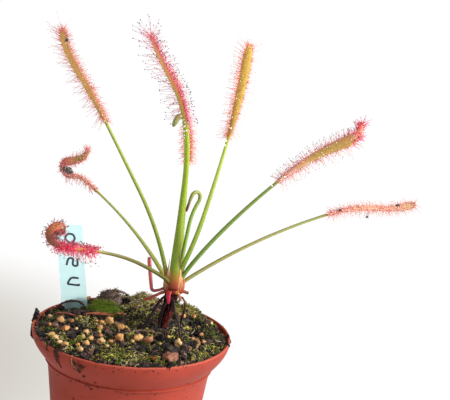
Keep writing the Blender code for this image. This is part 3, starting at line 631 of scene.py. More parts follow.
bm = bmesh.new()
for azimuth, lean, width, top, bottom, count in STREAKS:
    for k in range(count):
        share = (k / count) ** 1.1
        aside = chance.gauss(0, 0.34) * width * (1 - 0.75 * share)
        size = crumb_size(*STREAK_CRUMB_SIZES) * (1 - 0.4 * share)
        stick_crumb(bm, azimuth + lean * share + math.degrees(aside / RIM_RADIUS),
                    top + (bottom - top) * share, size, 0, chance.choice(SPLASH_SHADES))
for azimuth, height, size, count in LIP_HEAPS:
    for _ in range(count):
        stick_crumb(bm, azimuth + chance.uniform(-2, 2), height + chance.uniform(-1.3, 1.3) * size,
                    size * chance.uniform(0.6, 1.1), chance.uniform(-0.6, 0.2) * size,
                    chance.choice(CHUNK_SHADES), 0.8)
for first, last, height, count in SMEARS:
    for _ in range(count):
        stick_crumb(bm, chance.uniform(first, last), height + chance.gauss(0, 0.9),
                    chance.uniform(*SMEAR_CRUMBS), 0, chance.choice(SPLASH_SHADES))
for _ in range(SPECKS):
    height = POT_HEIGHT - SPECKS_REACH * chance.random() ** 1.6
    stick_crumb(bm, chance.uniform(0, 360), height, chance.uniform(*SPECK_SIZES), -0.02, SPECK_BROWN, 0.35)
root, root_corners = strand_shape("root", 6, 8, 0.5)
for first, top, last, bottom, tint in LIP_ROOTS:
    start, end = on_pot(first, top, 0.2), on_pot(last, bottom, 0.25)
    laid = bend_strand(root_corners, start, end - start, Vector(), LIP_ROOT_RADIUS * MM, 0.5 * MM)
    laid = laid - np.sin(np.pi * root_corners[:, 2:3]) * np.array((0, 0.4 * MM, 0))
    add_copy(bm, root, laid, graded(root_corners, tint, darker(tint, 0.6)))
show("pot_splashes", bm, crumb_finish, "potting_mix", smooth=False)


# ---- Grit and bark ----
# Tan baked-clay granules and a lump of reddish bark, half sunk in the mix, with one white grain on
# the moss and one red grain in front. Each is a round lump, swollen here and there.

GRIT = [  # centre, half length and half height, in millimetres
    (-32, -3, 1.9, 1.6), (-31, -24, 1.7, 1.4), (-28.5, -13.5, 1.7, 1.4), (-17, -29, 1.7, 1.5),
    (-19, -16, 1.5, 1.3), (-13.5, -10, 1.6, 1.3), (-10.4, -1, 2.1, 1.8), (-11, -25, 1.7, 1.5),
    (-3.5, -20.5, 2.1, 1.7), (4.5, -18, 2.1, 1.8), (22, -17.5, 1.9, 1.6), (-4.5, -6.5, 1.6, 1.3),
]
MORE_GRIT = [  # centre and half size of the smaller ones
    (-33, -22, 1.6), (-23.8, -13, 1.1), (-13.6, -3.3, 1.4), (-13.3, -14.7, 1.2), (-12.1, -19.3, 1.2),
    (-15.8, -23.5, 1.4), (-18.6, -35.1, 1.4), (-7.1, -24.1, 1.1), (-2.2, -6.5, 1.1), (9, -20.1, 2.0),
    (17.2, -12.2, 1.1), (24.2, 24.3, 1.4), (27.3, 18.1, 1.1), (2.1, -21.4, 1.1), (30, 6, 1.0),
    (33, -11, 1.2), (-38, 3, 1.1), (-24, 2.5, 1.0), (12, 31, 1.2), (-4, 36, 1.1), (-24, 30, 1.3),
    (16, 26, 1.6), (22.4, 15.9, 1.4), (24.6, 1.7, 1.3), (20.5, 5, 1.0), (-25.8, -31.5, 1.7),
    (-28.6, -29, 1.3), (-20.5, -30.5, 1.2), (14.5, -21, 1.1), (31.5, -3, 1.2), (28, -9.5, 1.0),
    (-8, -29, 1.0), (-36, -9, 1.1), (37, -3.5, 1.0), (-27, -3.5, 1.2), (-16, -2, 1.0), (35.5, 17, 1.0),
    (10, -14, 0.9), (-19.5, -21.5, 1.2),
]
GRIT_SHADES = [(0.80, 0.44, 0.16), (0.86, 0.53, 0.24), (0.70, 0.33, 0.11), (0.60, 0.44, 0.12),
               (0.60, 0.25, 0.12)]
PERLITE = (20.3, 25, 86.2)  # a white grain on the moss
PERLITE_HALF = (1.7, 1.36, 1.36)
PERLITE_WHITE = (1, 1, 0.97)
BARK_LUMP = (19.8, -32.8, 3.9, 1.9)
BARK_BROWN = (0.34, 0.135, 0.08)
RED_GRAIN = (12.8, -35, 1.2)
GRAIN_RED = (0.72, 0.14, 0.03)

grit_finish = tinted_finish("grit", 0.8, 0.4, 0.82, 300, 0.12 * MM, 1500, shine=0.3)

bm, _ = tinted_bm()
for k, (x, y, half, high) in enumerate(GRIT):
    knobbly(bm, on_mix(x, y, high + 0.6), (half, half * 0.82, high), 0.5, k + 1, GRIT_SHADES[k % 3])
for k, (x, y, half) in enumerate(MORE_GRIT):
    knobbly(bm, on_mix(x, y, half * 0.8 + 1), (half, half * 0.8, half * 0.8), 0.5, k + 20,
            GRIT_SHADES[k % 5], 2)
x, y, half = RED_GRAIN
knobbly(bm, on_mix(x, y, 1.4), (half, half * 0.7, half * 0.6), 0.4, 60, GRAIN_RED, 2)
knobbly(bm, PERLITE, PERLITE_HALF, 0.4, 61, PERLITE_WHITE, 2)
show("grit", bm, grit_finish, "grit", *(f"grit_{k:02d}" for k in range(1, len(GRIT) + 1)))

bm, _ = tinted_bm()
x, y, half, high = BARK_LUMP
knobbly(bm, on_mix(x, y, high), (half, half * 0.82, high), 0.6, 71, BARK_BROWN, 4)
show("bark", bm, grit_finish, "dry_leaf", "bark_lump")


# ---- Moss ----
# Living moss in six cushions and in loose curly tufts between the granules: bright green where it
# stays wettest, yellow-green over the rest. Every shoot is a short curling strand.

MOSS_SHADES = dict(
    l=(0.17, 0.27, 0.022), b=(0.36, 0.52, 0.05), o=(0.25, 0.21, 0.045), y=(0.60, 0.54, 0.11),
    p=(0.68, 0.62, 0.26), d=(0.085, 0.095, 0.03), s=(0.74, 0.62, 0.42), r=(0.50, 0.24, 0.09),
    e=(0.07, 0.052, 0.038), u=(0.18, 0.105, 0.085), c=(0.40, 0.23, 0.18), m=(0.30, 0.18, 0.15),
)  # leaf green, bright green, olive, yellow-green, pale, dark, straw, rusty, peat, dusky, clay and mud
MOSS = {  # centre, half length and width, turn in degrees and height, its ground, and its shoots' shades
    "moss_cushion_left": (-14.4, 13.6, 8.6, 4.8, -25, 5.0, MOSS_SHADES["l"], "bbby"),
    "moss_cushion_dark": (-13.4, 25.5, 5.8, 6, 0, 6.0, (0.15, 0.10, 0.085), "ucmo"),
    "moss_cushion_back": (2.6, 27, 6.2, 8, 0, 4.2, MOSS_SHADES["o"], "ssypor"),
    "moss_cushion_right": (21.5, 25.5, 8, 7, -20, 3.6, MOSS_SHADES["o"], "oyypd"),
    "moss_patch_side": (35, 2, 4.6, 9.5, 5, 2.0, (0.03, 0.035, 0.02), "odd"),
    "moss_patch_front": (-3, -34, 9, 4.2, 0, 1.8, MOSS_SHADES["d"], "oyd"),
}
SHOOTS_PER_MM2 = 2.2
SHOOT_LENGTHS = (0.9, 1.9)
SHOOT_RADII = (0.16, 0.27)
TUFTS = [  # low fuzz: centre, spread, how many tufts, and their shades
    (-15, 14, 8, 22, "lo"), (1, 19, 6, 22, "yo"), (5, 10, 6, 14, "yo"), (24, 29, 7, 14, "yop"),
    (30, 20, 6, 9, "old"), (-32, 12, 6, 12, "do"), (-37, -3, 5, 14, "ld"), (-25, -28.5, 3, 12, "l"),
    (10, -21, 4, 10, "lo"), (38, 2, 7, 10, "old"), (24, -6, 8, 8, "ol"), (-8, -12, 9, 14, "od"),
    (0, 0, 26, 26, "odl"), (18, 36, 6, 12, "do"), (-30, -29, 6, 14, "ly"), (-12, -41, 5, 12, "yo"),
    (14, -40, 6, 14, "oy"), (33, -26, 6, 16, "yo"), (41, -10, 5, 12, "ou"),
]
CURLS = [  # long curled strands, in the same way
    (-22, 1, 4.5, 11, "yyp"), (-15.5, -5, 4, 8, "yp"), (-29.5, -22.5, 3, 8, "yp"),
    (-18.5, -25.5, 3.5, 8, "yp"), (-15.5, -36, 3, 4, "py"), (-4, -38.5, 4, 11, "yyl"),
    (5, -38, 4.5, 11, "yop"), (13, -37, 4, 6, "yo"), (31, -24, 5, 12, "ypo"), (36, -15, 3, 4, "yl"),
    (24, 3, 5, 7, "yop"), (22, -9, 5, 7, "yo"), (2, 14, 5, 10, "yop"), (2, 27, 5, 8, "syo"),
    (-5, 34, 3.5, 8, "ssp"), (25, 28, 5, 8, "ylo"), (33, 14, 4, 4, "ly"), (38, -2, 4, 6, "lo"),
    (-33, 3, 4, 3, "ou"), (-36, -14, 4, 4, "ol"), (-6, -26, 6, 7, "yo"), (5, -14, 6, 6, "oy"),
    (0, 0, 26, 20, "you"), (25, -2, 13, 19, "rusp"), (-20, -12, 14, 12, "rpu"), (2, 22, 7, 8, "rsp"),
    (0, 0, 28, 16, "ueu"), (-9, 39, 3.5, 9, "ssp"), (-4.4, 31.7, 3.2, 8, "spr"), (4, 37, 4, 7, "soy"),
    (-33, -27, 4, 6, "yl"), (-24, -35, 3.5, 7, "py"), (-9, -41.5, 3.5, 7, "yo"), (3, -42, 4, 8, "ypo"),
    (19, -38.5, 4, 7, "oy"), (30, -31, 4, 9, "ypo"), (38.5, -17, 3.5, 7, "oy"), (42, -3, 3, 4, "ou"),
]
STEM_CLEAR = 3.2  # no moss grows nearer to the stem than this
STEM_PLACE = (13.3, 4)


def plant_shoot(bm, foot, upward, length, radius, tint, curl, spread=0.45):
    lean = Vector((chance.gauss(0, 1), chance.gauss(0, 1), 0)) * spread
    reach = (Vector(upward).normalized() + lean).normalized() * length
    sag = Vector((chance.gauss(0, 1), chance.gauss(0, 1), -0.4)) * length * 0.3
    corners = bend_strand(shoot_corners, foot, reach, sag, radius, curl)
    tone = chance.uniform(0.65, 1.2)
    add_copy(bm, shoot, corners, graded(shoot_corners, darker(darker(tint, 0.3), tone), darker(tint, tone)))


shoot, shoot_corners = strand_shape("shoot", 4, 5, 0.35, 0.2)
moss_finish = tinted_finish("moss", 0.9, 0.46, 0.92, 1200, shine=0.25)

for name, (x, y, half_length, half_width, turn, height, ground, greens) in MOSS.items():
    cos, sin = math.cos(math.radians(turn)), math.sin(math.radians(turn))

    def dome(u, v):
        """The cushion's top at a share of its half length and half width, in millimetres."""
        px = x + half_length * u * cos - half_width * v * sin
        py = y + half_length * u * sin + half_width * v * cos
        rise = math.sqrt(max(0, 1 - u * u - v * v))
        tuft = 1 + 0.22 * math.sin(4.3 * u + x) * math.sin(5.1 * v + y)
        return on_mix(px, py, 0.2 + rise * height * tuft)

    bm, layer = tinted_bm()
    for vert in bmesh.ops.create_icosphere(bm, subdivisions=5, radius=1)["verts"]:
        u, v, w = vert.co
        px, py, top = dome(u, v)
        rough = 0.5 * noise.noise(Vector((px, py, w)) * 1.2) + 0.3 * noise.noise(Vector((px, py, w)) * 3)
        vert.co = Vector((px, py, top + rough if w > 0 else mix_height(px, py) - 0.8)) * MM
        vert[layer] = (*ground, 1)
    bmesh.ops.recalc_face_normals(bm, faces=bm.faces)
    for _ in range(round(SHOOTS_PER_MM2 * math.pi * half_length * half_width)):
        reach, angle = math.sqrt(chance.random()), chance.uniform(0, math.tau)
        u, v = reach * math.cos(angle), reach * math.sin(angle)
        upward = (u * cos - v * sin, u * sin + v * cos, 1.1)
        plant_shoot(bm, Vector(dome(u, v)) * MM, upward, chance.uniform(*SHOOT_LENGTHS) * MM,
                    chance.uniform(*SHOOT_RADII) * MM, MOSS_SHADES[chance.choice(greens)],
                    chance.uniform(0, 0.25) * MM)
    show(name.replace("moss_", "living_"), bm, moss_finish, "moss", name)


def show_tufts(name, clumps, strands, lengths, radii, curls, spread):
    """Tufts of moss about each clump's centre, where strands, lengths, radii and curls are ranges."""
    bm = bmesh.new()
    for x, y, reach, count, greens in clumps:
        for _ in range(count):
            px, py = chance.gauss(x, reach * 0.55), chance.gauss(y, reach * 0.55)
            if math.hypot(px, py) > MIX_RADIUS or math.dist((px, py), STEM_PLACE) < STEM_CLEAR:
                continue
            tint = MOSS_SHADES[chance.choice(greens)]
            for _ in range(chance.randint(*strands)):
                sx, sy = px + chance.gauss(0, 0.7), py + chance.gauss(0, 0.7)
                if math.hypot(sx, sy) > MIX_RADIUS + 0.5:
                    continue
                plant_shoot(bm, Vector(on_mix(sx, sy, 0.5)) * MM, (0, 0, 1), chance.uniform(*lengths) * MM,
                            chance.uniform(*radii) * MM, tint, chance.uniform(*curls) * MM, spread)
    show(name, bm, moss_finish, "moss")


show_tufts("moss_tufts", TUFTS, strands=(5, 9), lengths=(1.0, 2.3), radii=(0.2, 0.36), curls=(0.0, 0.4),
           spread=0.6)
show_tufts("moss_curls", CURLS, strands=(2, 5), lengths=(1.4, 3.6), radii=(0.26, 0.5), curls=(0.3, 1.0),
           spread=0.8)


# ---- Litter on the mix ----
# Dry reddish-brown leaf strips and a thin twig that have fallen on the mix. Each is a flat strip
# drawn along a curve, crinkled and rounded off at both ends.

LITTER = {  # places with their lift off the mix, half sizes, and tint
    "dry_leaf_arched": (
        [(-37.4, 15, 0.7), (-35, 15, 3.8), (-30.5, 14.8, 5.2), (-26.3, 14.4, 4.8), (-23.4, 13.6, 2.4)],
        [(0.6, 0.35), (0.8, 0.4), (1.1, 0.45), (1.0, 0.4), (0.4, 0.3)], (0.06, 0.025, 0.025)),
    "dry_strip_left": (
        [(-36.5, 6.4, 1.8), (-33, 5.4, 2.5), (-29, 4, 2.5), (-25.6, 2.8, 1.9)],
        [(0.5, 0.3), (0.8, 0.35), (0.8, 0.35), (0.4, 0.3)], (0.42, 0.12, 0.08)),
    "dry_strip_middle": (
        [(-22.5, 6.8, 1.9), (-18, 6.2, 2.7), (-13.5, 6.2, 2.7), (-9, 7, 2.0)],
        [(0.7, 0.45), (1.4, 0.6), (1.4, 0.6), (0.8, 0.4)], (0.56, 0.17, 0.085)),
    "twig_front": (
        [(9.5, -9.5, 0.8), (11, -16, 1.1), (13.5, -24, 1.0), (15.6, -28.4, 0.8)],
        [(0.4, 0.4), (0.4, 0.4), (0.35, 0.35), (0.3, 0.3)], (0.09, 0.04, 0.03)),
}
MORE_LITTER = [  # the same for the smaller scraps
    ([(-9, 8.9, 2), (-7, 8, 3), (-4, 9.5, 2)], [(0.6, 0.3), (1.3, 0.6), (0.5, 0.3)], (0.62, 0.28, 0.12)),
    ([(-38, -9, 0.8), (-34, -5, 1.5), (-28, -1, 1.3), (-22, 1, 0.8)],
     [(0.4, 0.3), (0.7, 0.4), (0.6, 0.4), (0.3, 0.3)], (0.12, 0.055, 0.05)),
    ([(-34, 9, 0.9), (-27, 10, 1.8), (-20, 12, 1.2)], [(0.4, 0.3), (0.9, 0.4), (0.4, 0.3)],
     (0.14, 0.08, 0.075)),
    ([(-4, -14, 1), (4, -8, 1.7), (14, -7.5, 1.2)], [(0.4, 0.3), (0.5, 0.35), (0.4, 0.3)],
     (0.2, 0.13, 0.07)),
    ([(27, -7, 1.2), (31, -13, 2), (30, -18, 1.1)], [(0.4, 0.3), (0.8, 0.4), (0.4, 0.3)],
     (0.42, 0.22, 0.1)),
    ([(19, 17, 1), (24, 21, 2), (30, 19, 1)], [(0.4, 0.3), (0.8, 0.4), (0.4, 0.3)], (0.4, 0.2, 0.12)),
    ([(-14, 27, 5.4), (-9, 31, 5), (-5, 30, 3.4)], [(0.8, 0.5), (1.3, 0.5), (0.5, 0.3)],
     (0.3, 0.19, 0.16)),
]


def laid_route(points, count):
    """Stations (point, along, across, up, whole) on a smooth curve through the points."""
    framed = []
    last = len(points) - 1
    for i in range(count + 1):
        whole = i / count * last
        k = min(int(whole), last - 1)
        t = whole - k
        p0, p1, p2, p3 = (points[min(max(k + j, 0), last)] for j in (-1, 0, 1, 2))
        a, b = 2 * p1, p2 - p0
        c, d = 2 * p0 - 5 * p1 + 4 * p2 - p3, 3 * p1 - p0 - 3 * p2 + p3
        point = (a + b * t + c * t * t + d * t ** 3) / 2
        along = ((b + 2 * c * t + 3 * d * t * t) / 2).normalized()
        if not framed:
            across = Vector((0, 0, 1)).cross(along)
            if across.length < 0.1:
                across = Vector((1, 0, 0))
        across = (across - along * across.dot(along)).normalized()
        framed.append((point, along, across, along.cross(across), whole))
    return framed


def swept(sections, sides):
    """A closed tube through sections of (centre, half width, half thickness), with its rings of corners."""
    bm, _ = tinted_bm()
    order = bm.verts.layers.int.new("order")
    ring = bmesh.ops.create_circle(bm, radius=MM, segments=sides)["verts"]
    for k, vert in enumerate(ring):
        vert[order] = k
    edges = list(bm.edges)
    rings = []
    for i, (centre, across, through) in enumerate(sections):
        if i:
            grown = bmesh.ops.extrude_edge_only(bm, edges=edges)["geom"]
            ring = [g for g in grown if isinstance(g, bmesh.types.BMVert)]
            edges = [g for g in grown if isinstance(g, bmesh.types.BMEdge)
                     and all(v in ring for v in g.verts)]
        for vert in ring:
            angle = math.tau * (vert[order] + 0.5) / sides
            vert.co = centre + across * math.cos(angle) + through * math.sin(angle)
        rings.append(sorted(ring, key=lambda v: v[order]))
    bm.faces.new(rings[0])
    bm.faces.new(rings[-1])
    bmesh.ops.recalc_face_normals(bm, faces=bm.faces)
    return bm, rings, bm.verts.layers.float_color["tint"]


def rounded(share, ends=0.06):
    """How full a strip is at a share of its length: whole, but rounded off at both ends."""
    from_end = min(share, 1 - share) / ends
    return math.sqrt(1 - (1 - min(1, from_end)) ** 2) * 0.9 + 0.1


def dry_strip(name, points, halves, tints, crinkle, replaced, material, slot, sides=10, rim=None):
    """A strip through points in metres, crinkled like a dead leaf, with tints along it and on its rims."""
    spans = len(points) - 1
    route = laid_route(points, spans * 10)
    sections = []
    for point, _, across, up, whole in route:
        full = rounded(whole / spans)
        width, depth = (read_keys(list(enumerate(sizes)), whole) * full * MM for sizes in zip(*halves))
        sections.append((point, across * width, up * depth))
    bm, rings, layer = swept(sections, sides)
    for ring, (point, _, across, up, whole) in zip(rings, route):
        for vert in ring:
            out = (vert.co - point).normalized()
            place = vert.co / MM
            vert.co += out * crinkle * MM * noise.fractal(place * 0.9, 0.8, 2.1, 3)
            tint = read_keys(tints, whole / spans)
            if rim:
                tint = between(tint, rim, (abs(out.dot(across)) - 0.75) / 0.15)
            vert[layer] = (*darker(tint, 1 + 0.5 * noise.noise(place * 1.7)), 1)
    show(name, bm, material, slot, *replaced)


def lie_on_mix(name, places, halves, tint, fade, crinkle, *replaced):
    points = [Vector(on_mix(*place)) * MM for place in places]
    dry_strip(name, points, halves, [(0, tint), (1, darker(tint, fade))], crinkle, replaced, dry_finish,
              "dry_leaf")


dry_finish = tinted_finish("dry_leaf", 0.7, 0.4, 1.0, 900, 0.08 * MM, 2500, shine=0.2)
for name, scrap in LITTER.items():
    lie_on_mix(name + "_curled", *scrap, 0.6, 0.35, name)
for k, scrap in enumerate(MORE_LITTER):
    lie_on_mix(f"dry_scrap_{k}", *scrap, 0.7, 0.45)


# ---- Label ----
# A strip of pale blue plastic with rounded shoulders and a pointed foot, pushed into the mix and
# leaning left. It carries plain numbers in dark pen.

LABEL_FOOT = Vector((-28.6, 17, 81)) * MM
LABEL_WIDTH = 12
LABEL_THICKNESS = 0.6
LABEL_ABOVE = 40.5
LABEL_SHOULDER = 9
LABEL_BELOW = 24
LABEL_POINT = 2
LABEL_LEAN = math.radians(8)
CORNER_ROUND = 1.1
FOOT_CORNER_ROUND = 0.45
RIM_ROUND = 0.12
LABEL_BLUES = [(0.3, (0.72, 0.98, 0.98)), (0.7, (0.77, 1.0, 1.0))]
PEN_HALF = 0.52
PEN_DEPTH = 0.05
PEN_BLACK = (0.03, 0.045, 0.07)
PEN_STROKES = [  # numbers, read with the label's foot to the left, as (across, up) in millimetres
    [(-1.8, 33.6), (0.2, 32.2), (2.2, 33.8), (1.6, 36), (-0.6, 36.4), (-2, 35), (-1.8, 33.6)],
    [(-2.4, 21.5), (-1.2, 24.6), (0.8, 24.4), (0.6, 21.6), (2.6, 21.2), (2.8, 24.6)],
    [(-2.6, 12.4), (2.4, 11.6), (2.6, 12.2)], [(-2.6, 12.4), (-0.6, 15.2), (2.8, 15)],
]

blue_plastic, tree, shader = blank_finish("label_plastic", 0.8)
tree.links.new(shades(tree, grain(tree, 130, 5), LABEL_BLUES), shader.inputs["Base Color"])
roughen(tree, shader, grain(tree, 1500, 3), 0.02 * MM)
shader.inputs["IOR"].default_value = 1.06
shader.inputs["Transmission Weight"].default_value = 0.8
label_lean = Matrix.Translation(LABEL_FOOT) @ Matrix.Rotation(-LABEL_LEAN, 4, "Y")

half, point = LABEL_WIDTH / 2, LABEL_POINT / 2
outline = [(-half, LABEL_ABOVE), (half, LABEL_ABOVE), (half, -LABEL_SHOULDER), (point, -LABEL_BELOW),
           (-point, -LABEL_BELOW), (-half, -LABEL_SHOULDER)]
bm = bmesh.new()
bm.faces.new([bm.verts.new((x * MM, -LABEL_THICKNESS / 2 * MM, z * MM)) for x, z in outline])
for at_foot, rounding in ((False, CORNER_ROUND), (True, FOOT_CORNER_ROUND)):
    corners = [vert for vert in bm.verts if (vert.co.z < -(LABEL_BELOW - 0.1) * MM) == at_foot]
    bmesh.ops.bevel(bm, geom=corners, offset=rounding * MM, offset_type="OFFSET", segments=5, profile=0.5,
                    affect="VERTICES", material=-1)
drawn = bmesh.ops.extrude_face_region(bm, geom=list(bm.faces))["geom"]
bmesh.ops.translate(bm, verts=[g for g in drawn if isinstance(g, bmesh.types.BMVert)],
                    vec=(0, LABEL_THICKNESS * MM, 0))
bmesh.ops.recalc_face_normals(bm, faces=bm.faces)
rims = [edge for edge in bm.edges if edge.calc_face_angle(0) > 1.2]
bmesh.ops.bevel(bm, geom=rims, offset=RIM_ROUND * MM, offset_type="OFFSET", segments=2, profile=0.5,
                affect="EDGES", material=-1)
bmesh.ops.transform(bm, matrix=label_lean, verts=bm.verts)
show("label_strip", bm, blue_plastic, "label_plastic", "label", smooth=False)

pen_ink = tinted_finish("pen_ink", 0.5, 0.7, 1.3, 2000)
bm, _ = tinted_bm()
for stroke in PEN_STROKES:
    points = [Vector((x, -LABEL_THICKNESS / 2 - 0.03, z)) * MM for x, z in stroke]
    route = laid_route(points, (len(points) - 1) * 6)
    line, _, layer = swept([(station, along.cross(Vector((0, 1, 0))) * PEN_HALF * MM,
                             Vector((0, PEN_DEPTH * MM, 0))) for station, along, *_ in route], 8)
    for vert in line.verts:
        vert[layer] = (*PEN_BLACK, 1)
    bmesh.ops.transform(line, matrix=label_lean, verts=line.verts)
    stroke_mesh = meshed("stroke", line)
    bm.from_mesh(stroke_mesh)
    bpy.data.meshes.remove(stroke_mesh)
show("label_numbers", bm, pen_ink, "label_plastic")


# ---- Stem and crown ----
# A short woody stem, almost black, wrapped in the rotted bases of old leaves. On it sits the
# orange-red crown, where the leaf stalks overlap like the scales of an onion.

CROWN = Vector((17, 2, 99)) * MM
STEM_FOOT = Vector((13.3, 4, 70)) * MM
STEM_SOIL = Vector((13.3, 4, 82)) * MM
STEM_RADII = (1.75, 2.3, 2.2, 2.9)
STEM_BARE = 0.92  # share of those radii that is left under the old bases
STEM_STEPS = 36
STEM_ROUGH = 0.45
STEM_DARK = (0.022, 0.009, 0.010)
STEM_REDDER = (0.12, 0.005, 0.005)  # added where it is reddest
STEM_RED_BELOW = 93  # height of the red side, which is its right
OLD_BASES = 40
BASE_TURN = 2.4  # radians round from one base to the next
BASE_LENGTHS = (3, 6)
BASE_WIDTHS = (0.7, 1.2)
BASES_RED_BELOW = 95
BASE_SHADES = [(0.012, 0.006, 0.007), (0.022, 0.007, 0.009), (0.05, 0.008, 0.010)]
BASE_RED = (0.16, 0.010, 0.010)
OLD_GROWTH = {  # points, half sizes, tints from the first end to the last, and the tint of the rims
    "cut_stalk_left": (
        [(12.9, 2.2, 100.7), (9.9, 2.2, 99.3), (7.5, 2.1, 99.2), (6.6, 2.6, 102), (5.6, 3.3, 108),
         (4.6, 4, 114)], [(0.9, 0.7), (0.8, 0.6), (0.8, 0.7), (0.95, 0.8), (1.0, 0.9), (1.05, 0.95)],
        [(0, (0.2, 0.05, 0.025)), (0.38, (0.24, 0.06, 0.03)), (0.5, (0.75, 0.26, 0.18)),
         (0.8, (0.98, 0.38, 0.33)), (0.94, (0.9, 0.26, 0.24)), (1, (0.34, 0.03, 0.035))],
        (0.7, 0.1, 0.1)),
    "dry_stub_left": (
        [(13.5, 0.1, 99.9), (9.5, -1.6, 98.2), (6.9, -2.4, 96.8), (4.7, -3, 95.7)],
        [(0.95, 0.7), (0.9, 0.6), (0.7, 0.45), (0.4, 0.3)],
        [(0, (0.42, 0.12, 0.05)), (0.4, (0.26, 0.045, 0.03)), (1, (0.4, 0.018, 0.03))], None),
    "dry_stub_right": (
        [(21.1, 1.3, 100.5), (22.8, 1.1, 100.1), (24, 1, 99.8)], [(0.8, 0.7), (0.75, 0.65), (0.7, 0.6)],
        [(0, (0.42, 0.12, 0.05)), (1, (0.16, 0.04, 0.03))], None),
    "dry_stub_front": (
        [(18.5, -2.1, 100.6), (19.5, -3.3, 100.4), (20.3, -4.1, 99.2), (20.7, -4.2, 97.9)],
        [(0.9, 0.7), (0.9, 0.7), (0.75, 0.5), (0.6, 0.5)],
        [(0, (0.62, 0.26, 0.07)), (0.5, (0.5, 0.18, 0.07)), (1, (0.28, 0.07, 0.05))], None),
    "red_stipule": (
        [(15.6, -2.2, 101.2), (15.1, -3.2, 99.6), (15.3, -3.7, 97.6), (15.5, -3.8, 95.4)],
        [(1.1, 0.5), (1.2, 0.5), (1.0, 0.45), (0.5, 0.3)],
        [(0, (0.4, 0.02, 0.02)), (0.4, (0.6, 0.02, 0.05)), (1, (0.85, 0.05, 0.12))], None),
    "dead_leaf_left": (
        [(13.9, 0.5, 97.6), (11.4, -1, 95.4), (9.2, -3, 91), (7, -5, 86.6), (4.2, -6, 82.2)],
        [(0.8, 0.5), (0.9, 0.5), (1.2, 0.5), (1.1, 0.5), (0.6, 0.4)],
        [(0, (0.035, 0.01, 0.01)), (1, (0.016, 0.01, 0.01))], None),
    "dead_leaf_front": (
        [(15.4, -0.8, 97.2), (13.7, -1.2, 93), (12.6, -1.7, 88), (12.2, -3, 83)],
        [(0.9, 0.4), (1.3, 0.4), (1.3, 0.4), (0.8, 0.4)],
        [(0, (0.05, 0.01, 0.01)), (1, (0.022, 0.008, 0.01))], None),
    "dead_leaf_right": (
        [(19.5, 1.9, 97.6), (21.9, 1.9, 96.4), (22.9, 2.2, 92.4), (22.2, 3, 87.4), (21.2, 3.6, 82.6)],
        [(0.7, 0.4), (0.9, 0.4), (1.0, 0.4), (0.9, 0.4), (0.6, 0.3)],
        [(0, (0.1, 0.025, 0.018)), (1, (0.018, 0.012, 0.012))], None),
    "aerial_root": (
        [(17.6, -1.0, 97), (18.9, -4, 92), (21.3, -7, 86.8), (22.5, -9.6, 82.2)],
        [(0.5, 0.5), (0.5, 0.5), (0.45, 0.45), (0.4, 0.4)],
        [(0, (0.04, 0.02, 0.018)), (1, (0.05, 0.035, 0.03))], None),
}
RED_STALKS = ("cut_stalk_left", "red_stipule")
RED_SCALE = (0.25, 0.024, 0.014)
ORANGE_SCALE = (0.46, 0.105, 0.025)
PALE_SCALE = (0.86, 0.56, 0.26)
PEACH = (0.74, 0.33, 0.11)
TAN = (0.64, 0.36, 0.13)
SCALE_RADIUS = 4.15
SCALES = [  # direction in degrees, height and half width in millimetres, and the tints of foot and tip
    (228, 16, 1.0, ORANGE_SCALE, PALE_SCALE), (212, 11.5, 1.0, ORANGE_SCALE, PALE_SCALE),
    (246, 14, 1.0, ORANGE_SCALE, TAN), (303, 17, 0.8, ORANGE_SCALE, PALE_SCALE),
    (318, 11, 1.0, RED_SCALE, TAN), (195, 8.5, 1.0, RED_SCALE, PEACH),
    (270, 6, 1.6, RED_SCALE, ORANGE_SCALE), (335, 7, 1.2, RED_SCALE, ORANGE_SCALE),
    (0, 7.5, 1.2, RED_SCALE, PEACH), (30, 8.5, 1.2, RED_SCALE, PEACH), (60, 9, 1.2, ORANGE_SCALE, TAN),
    (90, 10, 1.3, ORANGE_SCALE, PEACH), (120, 8.5, 1.2, RED_SCALE, PEACH),
    (150, 7.5, 1.2, RED_SCALE, PEACH), (175, 8, 1.1, RED_SCALE, PEACH),
    (282, 5, 1.5, RED_SCALE, ORANGE_SCALE), (240, 5, 1.4, RED_SCALE, ORANGE_SCALE),
    (255, 7.5, 0.9, RED_SCALE, TAN), (292, 8.5, 0.9, RED_SCALE, PEACH),
]
HEART = [  # the crown under its scales, as (radius, height)
    (0, 8.1), (1.4, 8.0), (2.0, 7.6), (2.3, 6.6), (2.7, 5.4), (3.1, 4.2), (3.35, 3.1), (3.3, 2.0),
    (3.0, 0.9), (2.1, 0.1), (0, -0.4)]
HEART_SHADES = ((0.26, 0.024, 0.010), (0.58, 0.14, 0.025))
HEART_HEIGHT = 8

bark_finish = tinted_finish("stem_bark", 0.8, 0.25, 0.85, 700, 0.2 * MM, 1400, shine=0.12)
red_finish = tinted_finish("red_stalk", 0.4, 0.62, 1.0, 500, 0.03 * MM, shine=0.3, clear=0.2)

stem_top = CROWN + Vector((0, 0, 1.5 * MM))
route = laid_route([STEM_FOOT, STEM_SOIL, STEM_SOIL.lerp(stem_top, 0.5), stem_top], STEM_STEPS)
sections = []
for point, _, across, up, whole in route:
    radius = read_keys(list(enumerate(STEM_RADII)), whole) * STEM_BARE * MM
    sections.append((point, across * radius, up * radius))
bm, rings, layer = swept(sections, 20)
for ring, (point, *_) in zip(rings, route):
    for vert in ring:
        place = vert.co / MM
        vert.co += (vert.co - point).normalized() * STEM_ROUGH * MM * noise.fractal(place * 0.7, 0.8, 2.2, 4)
        reddish = max(0, noise.noise(place * 0.5))
        if vert.co.x > point.x and vert.co.z < STEM_RED_BELOW * MM:
            reddish += 0.9
        vert[layer] = (*(dark + redder * reddish for dark, redder in zip(STEM_DARK, STEM_REDDER)), 1)
flake, flake_corners = strand_shape("flake", 6, 5, 0.3)
flat = flake_corners * np.array((1, 0.4, 1))
